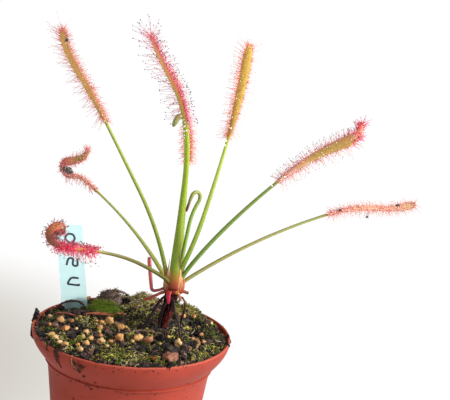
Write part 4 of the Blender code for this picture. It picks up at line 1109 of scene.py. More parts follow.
for k in range(OLD_BASES):
    share = 0.15 + 0.8 * k / OLD_BASES
    point, along, across, up, _ = route[int(12 + share * 23)]
    angle = k * BASE_TURN
    out = across * math.cos(angle) + up * math.sin(angle)
    length = chance.uniform(*BASE_LENGTHS) * MM
    foot = point + out * (1.7 + 0.8 * share) * MM
    laid = bend_strand(flat, foot, (-along * 0.98 + out * 0.12) * length, -out * 0.14 * length,
                       chance.uniform(*BASE_WIDTHS) * MM)
    dark = chance.choice(BASE_SHADES)
    if out.x > 0.3 and foot.z < BASES_RED_BELOW * MM:
        dark = BASE_RED
    add_copy(bm, flake, laid, graded(flake_corners, dark, darker(dark, 0.5)))
show("stem_wrapped", bm, bark_finish, "stem_bark", "stem")

for name, (points, halves, tints, rim) in OLD_GROWTH.items():
    crinkle, finish, slot = (0.3, dry_finish, "dry_leaf")
    if name in RED_STALKS:
        crinkle, finish, slot = (0.06, red_finish, "red_stalk")
    dry_strip(name + "_worn", [Vector(p) * MM for p in points], halves, tints, crinkle, [name], finish, slot,
              12, rim)

crown_finish = tinted_finish("crown", 0.45, 0.55, 0.98, 350, 0.08 * MM, 1200, shine=0.3)
bm = spun(HEART, 40)
layer = bm.verts.layers.float_color.new("tint")
dark, bright = map(Vector, HEART_SHADES)
for vert in bm.verts:
    swell = 1 + 0.09 * math.sin(5 * math.atan2(vert.co.y, vert.co.x) + vert.co.z * 900)
    vert[layer] = (*dark.lerp(bright, max(0, min(1, vert.co.z / (HEART_HEIGHT * MM)))), 1)
    vert.co = (vert.co.x * swell, vert.co.y * swell, vert.co.z)
bmesh.ops.translate(bm, verts=bm.verts, vec=CROWN)
scales, scale_corners = strand_shape("scale", 8, 7, 0.12)
flat, z = scale_corners * np.array((0.3, 1, 0)), scale_corners[:, 2:3]
bulge = 1 + 0.5 * np.sin(np.pi * np.clip(z * 1.1, 0, 1))
for azimuth, tall, half, low, high in SCALES:
    angle = math.radians(azimuth)
    out, turn = Vector((math.cos(angle), math.sin(angle), 0)), Matrix.Rotation(angle, 3, "Z")
    foot = CROWN + out * SCALE_RADIUS * MM + Vector((0, 0, 0.6 * MM))
    tip, belly = Vector((0, 0, tall * MM)), out * 0.5 * MM
    laid = (np.array(foot) + z * np.array(tip) + np.sin(np.pi * z) * np.array(belly)
            + flat @ np.array(turn).T * bulge * half * MM)
    add_copy(bm, scales, laid, graded(scale_corners, low, high))
show("crown_scales", bm, crown_finish, "crown", "crown")


# ---- Leaves ----
# Eight strap leaves, each a bare green stalk that flattens into a narrow blade. Stalk and blade are
# one growth. The blade is ochre beneath and reddish above, and its edges are flushed with red.

TAN_GREEN = (0.33, 0.35, 0.08)
GOLD = (0.58, 0.36, 0.06)
LIGHT_GOLD = (0.72, 0.46, 0.08)
AMBER = (0.78, 0.42, 0.13)
OLIVE_GOLD = (0.48, 0.39, 0.05)
TAN_PINK = (0.62, 0.33, 0.16)
RUST = (0.60, 0.22, 0.06)
BROWN = (0.16, 0.045, 0.03)
DARK_BROWN = (0.26, 0.075, 0.035)
BROWN_RED = (0.46, 0.10, 0.08)
ORANGE = (0.58, 0.19, 0.06)
CRIMSON = (0.80, 0.04, 0.11)
SALMON = (1.0, 0.33, 0.25)
CORAL = (1.0, 0.46, 0.37)
ROSE = (0.95, 0.22, 0.25)
PALE_ROSE = (1.0, 0.60, 0.56)
CRIMSON_PINK = (1.0, 0.14, 0.27)
HOT_PINK = (1.0, 0.30, 0.42)
PALE_PINK = (1.0, 0.48, 0.54)
LILAC = (0.72, 0.36, 0.46)
# The glue is clear: these tints of its drops are painted, standing in for what the drops reflect and refract.
DARK_DEW = (0.13, 0.11, 0.115)
GREY_DEW = (0.58, 0.54, 0.53)
PINK_DEW = (0.90, 0.66, 0.62)
SHEATH = (0.43, 0.095, 0.020)
SHEATH_FOOT = (0.20, 0.022, 0.012)

# How each leaf grows: its azimuth and rise in degrees, its lengths and widths in millimetres, with
# shares of the stalk or the blade before each value. Then its colours, its tentacles and its dew.
LEAVES = {
    "leaf_upper_left": dict(
        tier="high", azimuth=204, swing=3, stalk=79, blade=44.5, roll=20,
        rise=[(0, 75.6), (0.35, 59.6), (0.64, 59.2), (0.74, 56.7), (0.84, 54.7), (0.93, 62.5), (1, 85.7)],
        girth=[(0, 0.95), (1, 0.88)],
        widths=[(0, 0.9), (0.12, 1.6), (0.35, 2.4), (0.9, 2.5), (1, 2.0)],
        greens=((0.235, 0.32, 0.028), (0.37, 0.46, 0.075)),
        tints=[(0, RUST), (0.12, (0.5, 0.31, 0.07)), (0.3, (0.82, 0.49, 0.085)), (1, (0.86, 0.52, 0.09))],
        stripe=AMBER,
        edges=(GOLD, SALMON), reach=(6.8, 1.5, 3.6), droop=(30, 0), crowd=1.35, thick=1.2,
        hair=((ROSE, PALE_ROSE), (CORAL, PALE_ROSE)), dew=GREY_DEW, dew_size=0.17, bare=0.35, sparkles=34,
        neck_glints=3),
    "leaf_coiled_left": dict(
        tier="low", azimuth=128, swing=41, stalk=60.6, blade=42.1, roll=45,
        rise=[(0, 34), (0.5, 29), (0.66, 28), (0.74, -16), (0.8, 61), (0.86, 170), (0.93, 153), (1, 88)],
        girth=[(0, 0.95), (1, 0.8)],
        widths=[(0, 0.9), (0.2, 1.5), (0.42, 2.2), (0.7, 2.3), (0.9, 1.9), (1, 1.3)],
        greens=((0.4, 0.43, 0.08), (0.45, 0.49, 0.14)),
        tints=[(0, TAN_GREEN), (0.14, (0.82, 0.58, 0.29)), (0.3, (1.0, 0.6, 0.42)),
               (0.42, (0.72, 0.14, 0.13)), (0.64, (0.82, 0.18, 0.15)), (0.73, (0.98, 0.38, 0.18)),
               (0.8, OLIVE_GOLD), (0.95, LIGHT_GOLD), (1, CORAL)],
        edges=(CRIMSON, ROSE), reach=(3.4, 1.8, 3.4), droop=(10, 80), crowd=1.2, wild=0.1,
        hair=((ROSE, SALMON), (SALMON, CORAL)), thick=1.2, curl=0.35, dew=PINK_DEW, dew_size=0.16,
        bare=0.4, hanging=((0.05, 0.45), (2.0, 4.0), 26, 0.4)),
    "leaf_hooked_left": dict(
        tier="low", azimuth=236, swing=-35, stalk=50.7, blade=35.8, roll=55,
        rise=[(0, 52.8), (0.1, 31.4), (0.3, 27.2), (0.55, 13.6), (0.72, 8.4), (0.82, 27.2), (0.9, 121.5),
              (0.96, 218), (1, 334.6)], inset=3.0, rust=6, girth=[(0, 0.95), (1, 0.85)],
        widths=[(0, 1.0), (0.12, 1.5), (0.3, 1.8), (0.46, 2.0), (0.6, 1.8), (1, 1.7)],
        greens=((0.125, 0.135, 0.017), (0.185, 0.16, 0.035)),
        tints=[(0, TAN_PINK), (0.1, CRIMSON), (0.25, (0.6, 0.33, 0.1)), (0.33, CRIMSON), (0.46, CRIMSON),
               (0.55, DARK_BROWN), (0.68, DARK_BROWN), (0.78, ORANGE), (0.87, ORANGE), (0.92, BROWN),
               (1, BROWN)],
        edges=(CRIMSON, CRIMSON), reach=(4.2, 2.4, 3.2), droop=(40, 50), crowd=1.4, thick=1.2, curl=0.5,
        wild=0.4,
        hair=((CRIMSON, ROSE), (CRIMSON, ROSE)), hair_ends=0.58, dew=DARK_DEW, dew_size=0.23, sparkles=22,
        sparkle_to=0.5, hanging=((-0.02, 0.3), (3.4, 6.2), 18, 1.7)),
    "leaf_top_centre": dict(
        tier="high", azimuth=268, swing=-51, stalk=73.6, blade=44.2, roll=-4,
        rise=[(0, 93), (0.35, 95), (0.65, 65), (0.8, 50), (1, 61)],
        girth=[(0, 1.25), (0.3, 1.25), (0.6, 1.3), (0.9, 1.4), (1, 1.4)],
        widths=[(0, 1.25), (0.3, 1.5), (0.6, 1.8), (0.9, 1.8), (1, 1.3)], sheath=(1.6, 38), rust=7,
        greens=((0.2, 0.33, 0.014), (0.42, 0.545, 0.03)),
        tints=[(0, (0.52, 0.42, 0.06)), (0.25, (0.62, 0.42, 0.07)), (0.45, (0.8, 0.46, 0.1)),
               (0.8, (0.95, 0.52, 0.18)), (1, SALMON)],
        edges=(GOLD, CRIMSON), reach=(8.2, 2.0, 4.8), droop=(30, -38), crowd=1.6, thick=0.95,
        hair=((ROSE, LILAC), (CRIMSON_PINK, PALE_PINK)), fan=(14, 9.5), dew=DARK_DEW, dew_size=0.25,
        bare=0.25, sparkles=6, neck_glints=10),
    "leaf_back_centre": dict(
        tier="low", azimuth=82, swing=52, stalk=55.4, blade=43.5, roll=0,
        rise=[(0, 68), (0.5, 88), (1, 42)], girth=[(0, 1), (1, 0.9)],
        widths=[(0, 0.8), (0.2, 1.5), (0.38, 1.4), (0.5, 0.9), (1, 0.8)],
        greens=((0.2, 0.32, 0.01), (0.38, 0.52, 0.02)),
        tints=[(0, RUST), (0.2, GOLD), (1, GOLD)],
        edges=(SALMON, SALMON), reach=(4.2, 2.2, 4.2), faded=0.22, crowd=1.7, thick=1.3, wild=0.3,
        hair=((SALMON, CORAL), (SALMON, CORAL)), dew=PINK_DEW, dew_size=0.17),
    "leaf_top_right": dict(
        tier="high", azimuth=315, swing=20, stalk=72.4, blade=41.0, roll=-50,
        rise=[(0, 71.6), (0.1, 65.7), (0.3, 74.5), (0.7, 79.3), (1, 87)], inset=1.5,
        girth=[(0, 1.0), (0.5, 0.95), (1, 0.78)],
        widths=[(0, 0.8), (0.2, 1.3), (0.45, 1.85), (0.75, 2.15), (0.88, 2.0), (0.96, 1.6), (1, 1.2)],
        greens=((0.24, 0.36, 0.025), (0.52, 0.64, 0.1)),
        tints=[(0, RUST), (0.08, (0.4, 0.22, 0.035)), (0.3, (0.57, 0.345, 0.055)),
               (0.9, (0.57, 0.355, 0.055)), (1, (0.68, 0.42, 0.07))], mottle=(0.4, 0.225, 0.035),
        edges=(SALMON, AMBER), gland=0.3, reach=(4.4, 1.0, 4.0), crowd=1.4, thick=0.9,
        hair=((SALMON, PALE_ROSE), (CORAL, PALE_ROSE)), dew=PINK_DEW, dew_size=0.14, sparkles=14,
        neck_glints=4),
    "leaf_upper_right": dict(
        tier="low", azimuth=332, swing=8, stalk=72.4, blade=46.3, roll=-70,
        rise=[(0, 71.1), (0.1, 56.8), (0.3, 51.8), (0.6, 46.4), (0.78, 38.2), (0.88, 29.1), (0.94, 45.3),
              (1, 96.3)], inset=3.0, girth=[(0, 1.0), (0.5, 0.95), (1, 0.75)],
        widths=[(0, 0.6), (0.12, 0.85), (0.3, 1.35), (0.5, 1.85), (0.68, 2.3), (0.78, 2.5), (0.84, 2.0),
                (0.88, 1.2), (1, 0.9)], greens=((0.19, 0.315, 0.045), (0.295, 0.4, 0.085)),
        tints=[(0, (1.0, 0.38, 0.33)), (0.15, (1.0, 0.54, 0.44)), (0.3, (0.95, 0.52, 0.28)),
               (0.45, (0.64, 0.4, 0.08)), (0.8, (0.64, 0.38, 0.08)), (0.87, (0.95, 0.38, 0.28)),
               (0.93, (0.95, 0.24, 0.24)), (1, CRIMSON)], mottle=AMBER,
        edges=(CORAL, AMBER), reach=(3.8, 2.0, 5.0), tip_hair=0.76, crowd=1.3, thick=1.2,
        hair=((ROSE, PALE_ROSE), (SALMON, PALE_ROSE)), dew=GREY_DEW, dew_size=0.22, sparkles=40,
        neck_glints=3),
    "leaf_lower_right": dict(
        tier="low", azimuth=23, swing=-22, stalk=76.9, blade=41.4, roll=26, blush=0.75,
        rise=[(0, 35.3), (0.1, 32), (0.35, 27.3), (0.65, 21.7), (0.85, 1), (1, 24)], inset=3.0,
        girth=[(0, 0.85), (1, 0.78)],
        widths=[(0, 0.8), (0.15, 1.5), (0.75, 1.9), (0.9, 2.7), (1, 2.2)],
        greens=((0.31, 0.29, 0.082), (0.365, 0.395, 0.12)),
        tints=[(0, SALMON), (0.2, CORAL), (0.35, (1.0, 0.55, 0.28)), (0.75, (1.0, 0.52, 0.36)),
               (0.84, (1.0, 0.62, 0.34)), (0.93, (1.0, 0.72, 0.36)), (1, (1.0, 0.52, 0.4))],
        edges=(SALMON, SALMON), gland=0.1, reach=(4.0, 1.4, 3.2), droop=(50, 0), crowd=1.1, thick=1.2,
        wild=0.15, curl=0.4,
        hair=((CORAL, PALE_ROSE), (CORAL, PALE_ROSE)), dew=PINK_DEW, dew_size=0.15, bare=0.7,
        hanging=((0.05, 0.9), (2.2, 4.0), 40, 0.4)),
}
CROWN_TIERS = {"low": (3.6, 3.0), "high": (2.4, 7.0)}  # radius and height where a stalk leaves the crown
GAP = 0.3
ROUTE_STEP = 0.5 * MM
STALK_HALF = (1.25, 1.0)
NECK_HALF = (0.9, 0.7)
BLADE_THICK = [(0, 0.7), (0.3, 0.6), (0.9, 0.55), (1, 0.45)]
ROLL_DONE = 0.6
SHEATH_BACK = (4.5, 3.2, 1.8, 0.8)  # how far back into the crown the stalk is drawn
SHEATHS = (1.7, 9.0)  # how much wider a stalk starts, and over what length
LEAF_STEP = 1.1
LEAF_SIDES = 16
TIP_ROUND = 2.2
TIP_LEAST = 0.004
CUP = 0.14  # how far the edges of the blade curl up, for 1 of half width


def eased(low, high, share):
    """Runs from low to high with a soft start and end."""
    share = min(1.0, max(0.0, share))
    return low + (high - low) * share * share * (3 - 2 * share)


def grown_route(start, spec, lengths):
    """Stations (point, along, across, up) at these lengths from start, where azimuth and rise follow spec."""
    total = lengths[-1]
    stations = []
    point = Vector(start)
    travelled = 0.0
    for target in lengths:
        while True:
            share = travelled / total
            azimuth = math.radians(spec["azimuth"] + spec["swing"] * share)
            rise = math.radians(read_keys(spec["rise"], share))
            east, north = math.cos(azimuth), math.sin(azimuth)
            level, climb = math.cos(rise), math.sin(rise)
            along = Vector((level * east, level * north, climb))
            step = min(ROUTE_STEP, target - travelled)
            if step <= 1e-9:
                break
            point = point + along * step
            travelled += step
        across, up = Vector((-north, east, 0)), Vector((-climb * east, -climb * north, level))
        stations.append((point.copy(), along, across, up))
    return stations


def leaf_start(spec):
    radius, height = CROWN_TIERS[spec["tier"]]
    azimuth = math.radians(spec["azimuth"])
    first_rise = math.radians(spec["rise"][0][1])
    clear = radius + GAP + STALK_HALF[1] * abs(math.sin(first_rise)) - spec.get("inset", 0)
    return CROWN + Vector((clear * math.cos(azimuth), clear * math.sin(azimuth), height)) * MM


def half_sizes(length, spec):
    """Half width and half thickness of a leaf at a length from the crown, all in millimetres."""
    if length < spec["stalk"]:
        share = length / spec["stalk"]
        girth = read_keys(spec["girth"], share)
        return [girth * eased(a, b, share) for a, b in zip(STALK_HALF, NECK_HALF)]
    share = (length - spec["stalk"]) / spec["blade"]
    return read_keys(spec["widths"], share), read_keys(BLADE_THICK, share)


def tip_share(spec, length, least):
    """How full a blade still is at a length, as its tip rounds off."""
    from_tip = (spec["stalk"] + spec["blade"] - length) / TIP_ROUND
    return math.sqrt(max(least, 1 - max(0, 1 - from_tip) ** 2))


def leaf_route(spec, step):
    """Stations of a leaf with its blade's roll worked in, as (point, along, across, up, length in mm)."""
    total = spec["stalk"] + spec["blade"]
    count = round(total / step)
    lengths = [total * i / count for i in range(count)] + [total - back for back in (0.5, 0.2, 0.04, 0)]
    lengths.sort()
    rolled = []
    stations = grown_route(leaf_start(spec), spec, [length * MM for length in lengths])
    for length, (point, along, across, up) in zip(lengths, stations):
        roll = math.radians(spec["roll"]) * eased(0, 1, length / total / ROLL_DONE)
        turn = Matrix.Rotation(roll, 3, along)
        rolled.append((point, along, turn @ across, turn @ up, length))
    return rolled


def leaf_tint(spec, length, side, place):
    """Colour of a leaf at a length from the crown, at side -1 to 1 across it, and at this place."""
    past_stalk = length - spec["stalk"]
    sheath = spec.get("sheath", SHEATHS)[1]
    green = between(*spec["greens"], eased(0, 1, length / spec["stalk"]))
    foot = between(SHEATH_FOOT, SHEATH, (length + 4) / 4)
    stalk = between(foot, green, (length + 1) / spec.get("rust", 8))
    if length < sheath:  # dry, paler margins where the stalk clasps the crown
        margin = eased(0, 1, (abs(side) - 0.35) / 0.3) * (1 - length / sheath) * eased(0, 1, (length - 3) / 6)
        stalk = between(stalk, TAN, (0.3 if sheath > SHEATHS[1] and side < 0 else 0.45) * margin)
    if side > 0:  # a blush along the sunny side of the stalk
        stalk = between(stalk, TAN_PINK, spec.get("blush", 0) * eased(0, 1, side / 0.3)
                        * eased(0, 1, (length - 8) / 12) * eased(1, 0.3, (length - 45) / 20))
    stalk = between(stalk, OLIVE_GOLD, 0.6 * eased(0, 1, (past_stalk + 6) / 6))
    blade = read_keys(spec["tints"], past_stalk / spec["blade"])
    if side > 0.1:  # a paler stripe along one side of the blade
        blade = between(blade, spec.get("stripe", blade), eased(0, 1, (side - 0.1) / 0.3))
    patch = noise.noise(Vector(place) * 900)  # loose mottling
    blade = between(blade, spec.get("mottle", blade), 0.8 * eased(0, 1, patch / 0.3))
    blade = between(blade, spec["edges"][side >= 0], 0.8 * eased(0, 1, (abs(side) - 0.72) / 0.28))
    return between(stalk, blade, eased(0, 1, (past_stalk + 1) / 3))


leaf_finish = tinted_finish("leaf", 0.42, 0.78, 0.98, 650, 0.02 * MM, 1800, 0.25, 0.25, 0.65, 3)

for name, spec in LEAVES.items():
    route = leaf_route(spec, LEAF_STEP)
    point, along, across, up, _ = route[0]
    route = [(point - along * back * MM, along, across, up, -back) for back in SHEATH_BACK] + route
    swell, sheath = spec.get("sheath", SHEATHS)
    sections = []
    for point, along, across, up, length in route:
        width, thickness = half_sizes(max(0, length), spec)
        width *= eased(swell, 1, (length + SHEATH_BACK[0]) / sheath)
        full = tip_share(spec, length, TIP_LEAST)
        sections.append((point, across * width * full * MM, up * thickness * full * MM))
    bm, rings, layer = swept(sections, LEAF_SIDES)
    for ring, (_, half, _), (_, _, _, up, length) in zip(rings, sections, route):
        blade_share = eased(0, 1, (length - spec["stalk"]) / 8)
        for k, vert in enumerate(ring):
            side = math.cos(math.tau * (k + 0.5) / LEAF_SIDES)
            vert.co += up * half.length * CUP * blade_share * (side * side - 0.5)
            vert[layer] = (*leaf_tint(spec, length, side, vert.co), 1)
    show(name + "_blade", bm, leaf_finish, "leaf", name)


# ---- Tentacles and dew ----
# Rows of fine stalked glands on the upper face and edges of each blade, long at the edges and short
# in the middle. Each gland holds a drop of clear glue.

ROW_STEP = 0.8
ROWS = [  # place across the blade, and share of the edge's full length, or 0 for the short middle ones
    (-1, 1), (-0.9, 0.6), (-0.45, 0), (0, 0), (0.45, 0), (0.9, 0.6), (1, 1)]
ROW_GAPS = 0.15
HAIR_RADIUS = 0.105
HAIR_LEAN = 1.2  # how far they lean to the leaf's ends, along it
EDGE_TILT, FACE_TILT = 78, 50  # degrees off upright that a tentacle leans at the edge, and within it
GLAND_RADIUS = 0.13
GLAND_RED = (0.80, 0.16, 0.20)
END_LENGTH = 1.15  # how much longer they are at the blade's two ends
END_SHARE = 0.12
END_RED = (0.62, 0.12, 0.12)
BLADE_LEAST = 0.05
BEND_LONGEST = 2.0  # where the leaf turns sharply
WILD_LONGEST = 2.4 * MM  # those that stick out on any side
DEW_LACKING = 0.1  # share that has lost its drop
# the cream and white of these beads are painted glints of the glue
GLINT_CREAM = (0.95, 0.93, 0.74)
GLINT_WHITE = (0.96, 0.97, 0.94)

hair, hair_corners = strand_shape("hair", 4, 3, 0.5)


def bead_shape(name, u_segments, v_segments):
    bm = bmesh.new()
    bmesh.ops.create_uvsphere(bm, u_segments=u_segments, v_segments=v_segments, radius=1)
    return shape_of(bm, name)


gland, gland_corners = bead_shape("gland", 5, 3)
drop, drop_corners = bead_shape("drop", 6, 4)

hair_finish = tinted_finish("tentacle", 0.5, 0.9, 1.1, 1500, shine=0.2, clear=0.15)
glint_finish = tinted_finish("glint_bead", 0.12, 0.95, 1.05, 1500)
dew_finish, tree, shader = blank_finish("dew", 0.04)
tint = add_node(tree, "Attribute", {}, attribute_name="tint")
tree.links.new(tint.outputs["Color"], shader.inputs["Base Color"])
shader.inputs["IOR"].default_value = 1.36
shader.inputs["Transmission Weight"].default_value = 0.35


def grow_tentacle(foot, reach, sag, colours, curl=0.0, dewy=True):
    """One tentacle from foot, with its gland and perhaps its drop of glue, in metres."""
    laid = bend_strand(hair_corners, foot, reach, sag, HAIR_RADIUS * spec.get("thick", 1) * MM, curl)
    tone = chance.uniform(0.85, 1.12)
    low, high = ([min(1, c * tone) for c in colour] for colour in colours)
    add_copy(hairs, hair, laid, graded(hair_corners, low, high))
    end = laid[hair_corners[:, 2] > 0.99].mean(axis=0)
    gland_tint = between(high, GLAND_RED, spec.get("gland", 0.6))
    add_copy(hairs, gland, gland_corners * GLAND_RADIUS * MM + end, gland_tint)
    if dewy:
        size = spec["dew_size"] * chance.uniform(0.75, 1.2) * MM
        add_copy(dew, drop, drop_corners * size + end, spec["dew"])


def nearest(at):
    """The station of the leaf that is nearest to a length."""
    return min(route, key=lambda station: abs(station[4] - at))


def blade_sizes(at):
    """Half width, drawn in as the tip rounds off, and half thickness of the blade at a length."""
    width, thickness = half_sizes(at, spec)
    return width * tip_share(spec, at, BLADE_LEAST), thickness


def bend_at(i, reach=6):
    """How sharply the leaf turns about its station i."""
    return route[max(i - reach, 0)][1].angle(route[min(i + reach, len(route) - 1)][1])


FRINGES = {  # angles round the blade, shares along it, lengths, number per mm, thickness and colours
    "leaf_upper_left": [
        ((0, 85), (0, 1), (1.0, 3.4), 4, 1, CORAL, PALE_ROSE),
        ((-170, -95), (0, 1), (0.8, 2.4), 3, 1, SALMON, PALE_ROSE),
        ((-180, 180), (0.95, 1), (1.0, 2.4), 16, 1.2, SALMON, CORAL)],
    "leaf_coiled_left": [
        ((60, 170), (0, 0.7), (1.4, 3.2), 4, 1.2, CORAL, PALE_ROSE),
        ((-180, 180), (0.42, 0.7), (0.7, 1.6), 5, 1.2, (0.9, 0.16, 0.18), ROSE),
        ((-180, 180), (0.72, 1), (1.2, 3.0), 11, 1.2, (1.0, 0.4, 0.42), (1.0, 0.62, 0.62))],
    "leaf_hooked_left": [
        ((-180, 180), (0, 0.21), (1.2, 3.0), 12, 1.3, CRIMSON, CRIMSON_PINK),
        ((-180, 180), (0.21, 0.29), (1.0, 2.4), 5, 1.3, CRIMSON, CRIMSON_PINK),
        ((-180, 180), (0.29, 0.52), (1.3, 3.4), 15, 1.3, CRIMSON, CRIMSON_PINK),
        ((-70, 70), (0.66, 1), (1.3, 3.2), 10, 1.5, BROWN_RED, (0.42, 0.07, 0.05))],
    "leaf_top_centre": [
        ((30, 95), (0, 0.97), (0.8, 2.2), 4, 1.0, CRIMSON_PINK, HOT_PINK),
        ((20, 110), (-0.12, 0.1), (1.4, 4.2), 2.6, 1.0, CRIMSON_PINK, PALE_PINK)],
    "leaf_back_centre": [
        ((-180, 180), (0, 0.42), (1.2, 3.5), 19, 1.2, (1.0, 0.38, 0.34), (1.0, 0.6, 0.56))],
    "leaf_top_right": [
        ((50, 120), (0, 1), (0.8, 2.0), 4, 1, SALMON, PALE_ROSE),
        ((-120, -50), (0, 1), (0.8, 2.4), 5, 1, SALMON, CORAL),
        ((-180, 180), (0.96, 1), (0.8, 2.0), 16, 1.2, SALMON, CORAL)],
    "leaf_upper_right": [
        ((50, 130), (0, 0.9), (0.6, 1.8), 3, 1, ROSE, PALE_ROSE),
        ((-130, -50), (0, 0.9), (0.6, 2.0), 3, 1, ROSE, PALE_ROSE),
        ((-180, 180), (0.8, 1), (1.0, 3.4), 6, 1.6, CRIMSON, CRIMSON_PINK)],
    "leaf_lower_right": [
        ((-180, 180), (0, 0.8), (0.9, 2.8), 7, 1.2, (1.0, 0.44, 0.38), (1.0, 0.66, 0.62)),
        ((-180, 180), (0.8, 1), (0.8, 2.2), 6, 1.2, (1.0, 0.52, 0.42), (1.0, 0.7, 0.64))],
}

for name, spec in LEAVES.items():
    route = leaf_route(spec, 0.4)
    total = route[-1][4]
    droops = spec.get("droop", (0, 0))
    curl = spec.get("curl", 0.12)
    hairs, dew = bmesh.new(), bmesh.new()
    length = spec["stalk"] + 0.5
    while length < total:
        i = min(range(len(route)), key=lambda j: abs(route[j][4] - length))
        point, along, across, up, at = route[i]
        width, thickness = blade_sizes(at)
        blade_share = (at - spec["stalk"]) / spec["blade"]
        ends = eased(END_LENGTH, 1, min(blade_share, 1 - blade_share) / END_SHARE)
        bend = bend_at(i)
        for side, share in ROWS:
            outermost = abs(side) == 1
            if not outermost and chance.random() < ROW_GAPS:
                continue
            edge = side >= 0
            place = max(-1, min(1, side + chance.uniform(-0.1, 0.1)))
            # as long as this place on the blade gives, but shorter where the leaf turns sharply
            full = spec["reach"][1] * spec.get("faded", 1) ** eased(0, 1, (blade_share - 0.35) / 0.12)
            if share:
                full *= spec["reach"][2 * edge] / spec["reach"][1] * share * ends
            full = eased(full, min(full, BEND_LONGEST), bend / 0.8)
            tall = full * chance.uniform(0.75 if outermost else 0.5, 1.05) * MM
            colours = spec["hair"][edge]
            if blade_share > spec.get("tip_hair", 2):
                colours = (CRIMSON, CRIMSON)
            if blade_share > spec.get("hair_ends", 2):
                colours = (BROWN_RED, END_RED)
            foot = (point + across * place * width * 0.97 * MM + along * chance.uniform(-0.4, 0.4) * MM
                    + up * (thickness * math.sqrt(max(0, 1 - place * place))
                            + width * CUP * (place ** 2 - 0.5)) * MM)
            tilt = place * math.radians(EDGE_TILT if outermost else FACE_TILT) + chance.gauss(0, 0.2)
            if chance.random() < spec.get("wild", 0):  # some stick out on any side
                tilt = chance.uniform(-math.pi, math.pi)
                foot = point + (across * math.sin(tilt) * width + up * math.cos(tilt) * thickness) * MM
                tall = min(tall, WILD_LONGEST)
            tilt += (1 if edge else -1) * math.radians(droops[edge]) * abs(place) * chance.uniform(0.3, 1.2)
            way = (across * math.sin(tilt) + up * math.cos(tilt)
                   + along * ((blade_share - 0.5) * HAIR_LEAN + chance.gauss(0, 0.22))).normalized()
            sag = along * chance.gauss(0, 0.1) * tall + Vector((0, 0, chance.uniform(-0.2, 0.12) * tall))
            grow_tentacle(foot, way * tall, sag, colours, curl * chance.random() * MM,
                          chance.random() > spec.get("bare", DEW_LACKING))
        length += ROW_STEP / spec.get("crowd", 1) * chance.uniform(0.85, 1.15)

    # a fan of them round the tip
    point, along, across, up, _ = route[-1]
    rays, ray_length = spec.get("fan", (9, 0.75 * max(spec["reach"])))
    colours = (CRIMSON, CRIMSON) if "tip_hair" in spec else spec["hair"][0]
    for _ in range(rays):
        around, spread = chance.uniform(0, math.tau), math.radians(chance.uniform(15, 75))
        out = across * math.cos(around) + up * math.sin(around)
        tall = ray_length * chance.uniform(0.6, 1.05) * MM
        way = along * math.cos(spread) + out * math.sin(spread)
        foot = point - along * chance.uniform(0.2, 1.4) * MM + out * 0.4 * MM
        grow_tentacle(foot, way * tall, Vector((0, 0, 0.05 * tall)), colours)

    # a fringe of finer ones without drops
    for angles, shares, lengths, per_mm, thick, low, high in FRINGES[name]:
        for _ in range(round((shares[1] - shares[0]) * spec["blade"] * per_mm)):
            blade_share = chance.uniform(*shares)
            at = spec["stalk"] + blade_share * spec["blade"]
            point, along, across, up, _ = nearest(at)
            width, thickness = blade_sizes(at)
            tilt = math.radians(chance.uniform(*angles))
            sine, cosine = math.sin(tilt), math.cos(tilt)
            foot = point + (across * sine * width * 0.95 + up * cosine * thickness * 0.9) * MM
            lean = ((blade_share - 0.5) * HAIR_LEAN + eased(0, 2, (blade_share - 0.93) / 0.06)
                    + chance.gauss(0, 0.3))
            way = (across * sine + up * cosine + along * lean).normalized()
            tall = chance.uniform(*lengths) * MM
            sag = Vector((0, 0, chance.uniform(-0.25, 0.12) * tall))
            laid = bend_strand(hair_corners, foot, way * tall, sag, HAIR_RADIUS * thick * MM,
                               curl * chance.random() * MM)
            add_copy(hairs, hair, laid, graded(hair_corners, low, high))

    # limp ones that hang down from the blade
    shares, lengths, count, loop = spec.get("hanging", ((0, 0), (0, 0), 0, 0))
    for _ in range(count):
        point = nearest(spec["stalk"] + chance.uniform(*shares) * spec["blade"])[0]
        reach = Vector((chance.gauss(0, 0.35), -0.3, -1)).normalized() * chance.uniform(*lengths) * MM
        grow_tentacle(point - Vector((0, 0, 0.5 * MM)), reach,
                      Vector((chance.gauss(0, 0.2), 0, 0)) * reach.length, spec["hair"][1],
                      loop * chance.uniform(0.4, 1) * MM)

    # stray whitish beads of glue on the back of the blade, and larger ones at its neck: their white is a
    # painted glint
    beads = bmesh.new()
    for k in range(spec.get("sparkles", 0) + spec.get("neck_glints", 0)):
        on_neck = k < spec.get("neck_glints", 0)
        first, last = spec["stalk"], total - max(4, (1 - spec.get("sparkle_to", 1)) * spec["blade"])
        if on_neck:
            first, last = spec["stalk"] - 8, spec["stalk"] + 5
        point, along, across, up, at = chance.choice([s for s in route if first < s[4] < last])
        width, thickness = half_sizes(at, spec)
        place = chance.uniform(-0.8, 0.8)
        face = 1 if "wild" in spec and chance.random() < 0.5 else -1
        seat = point + across * place * width * MM + up * face * thickness * math.sqrt(1 - place * place) * MM
        size = (chance.uniform(0.28, 0.45) if on_neck else chance.uniform(0.12, 0.26)) * MM
        add_copy(beads, drop, drop_corners * size + np.array(seat), GLINT_WHITE if on_neck else GLINT_CREAM)
    if beads.verts:
        show(name + "_glint_beads", beads, glint_finish, "leaf")
    else:
        beads.free()
    show(name + "_tentacles", hairs, hair_finish, "leaf")
    show(name + "_dew", dew, dew_finish, "leaf")


# ---- Young leaf and flower shoot ----
# Two round green shoots from the heart of the crown. The young leaf is still rolled up like a
# fern's, and the flower shoot nods over with its bud at the end.

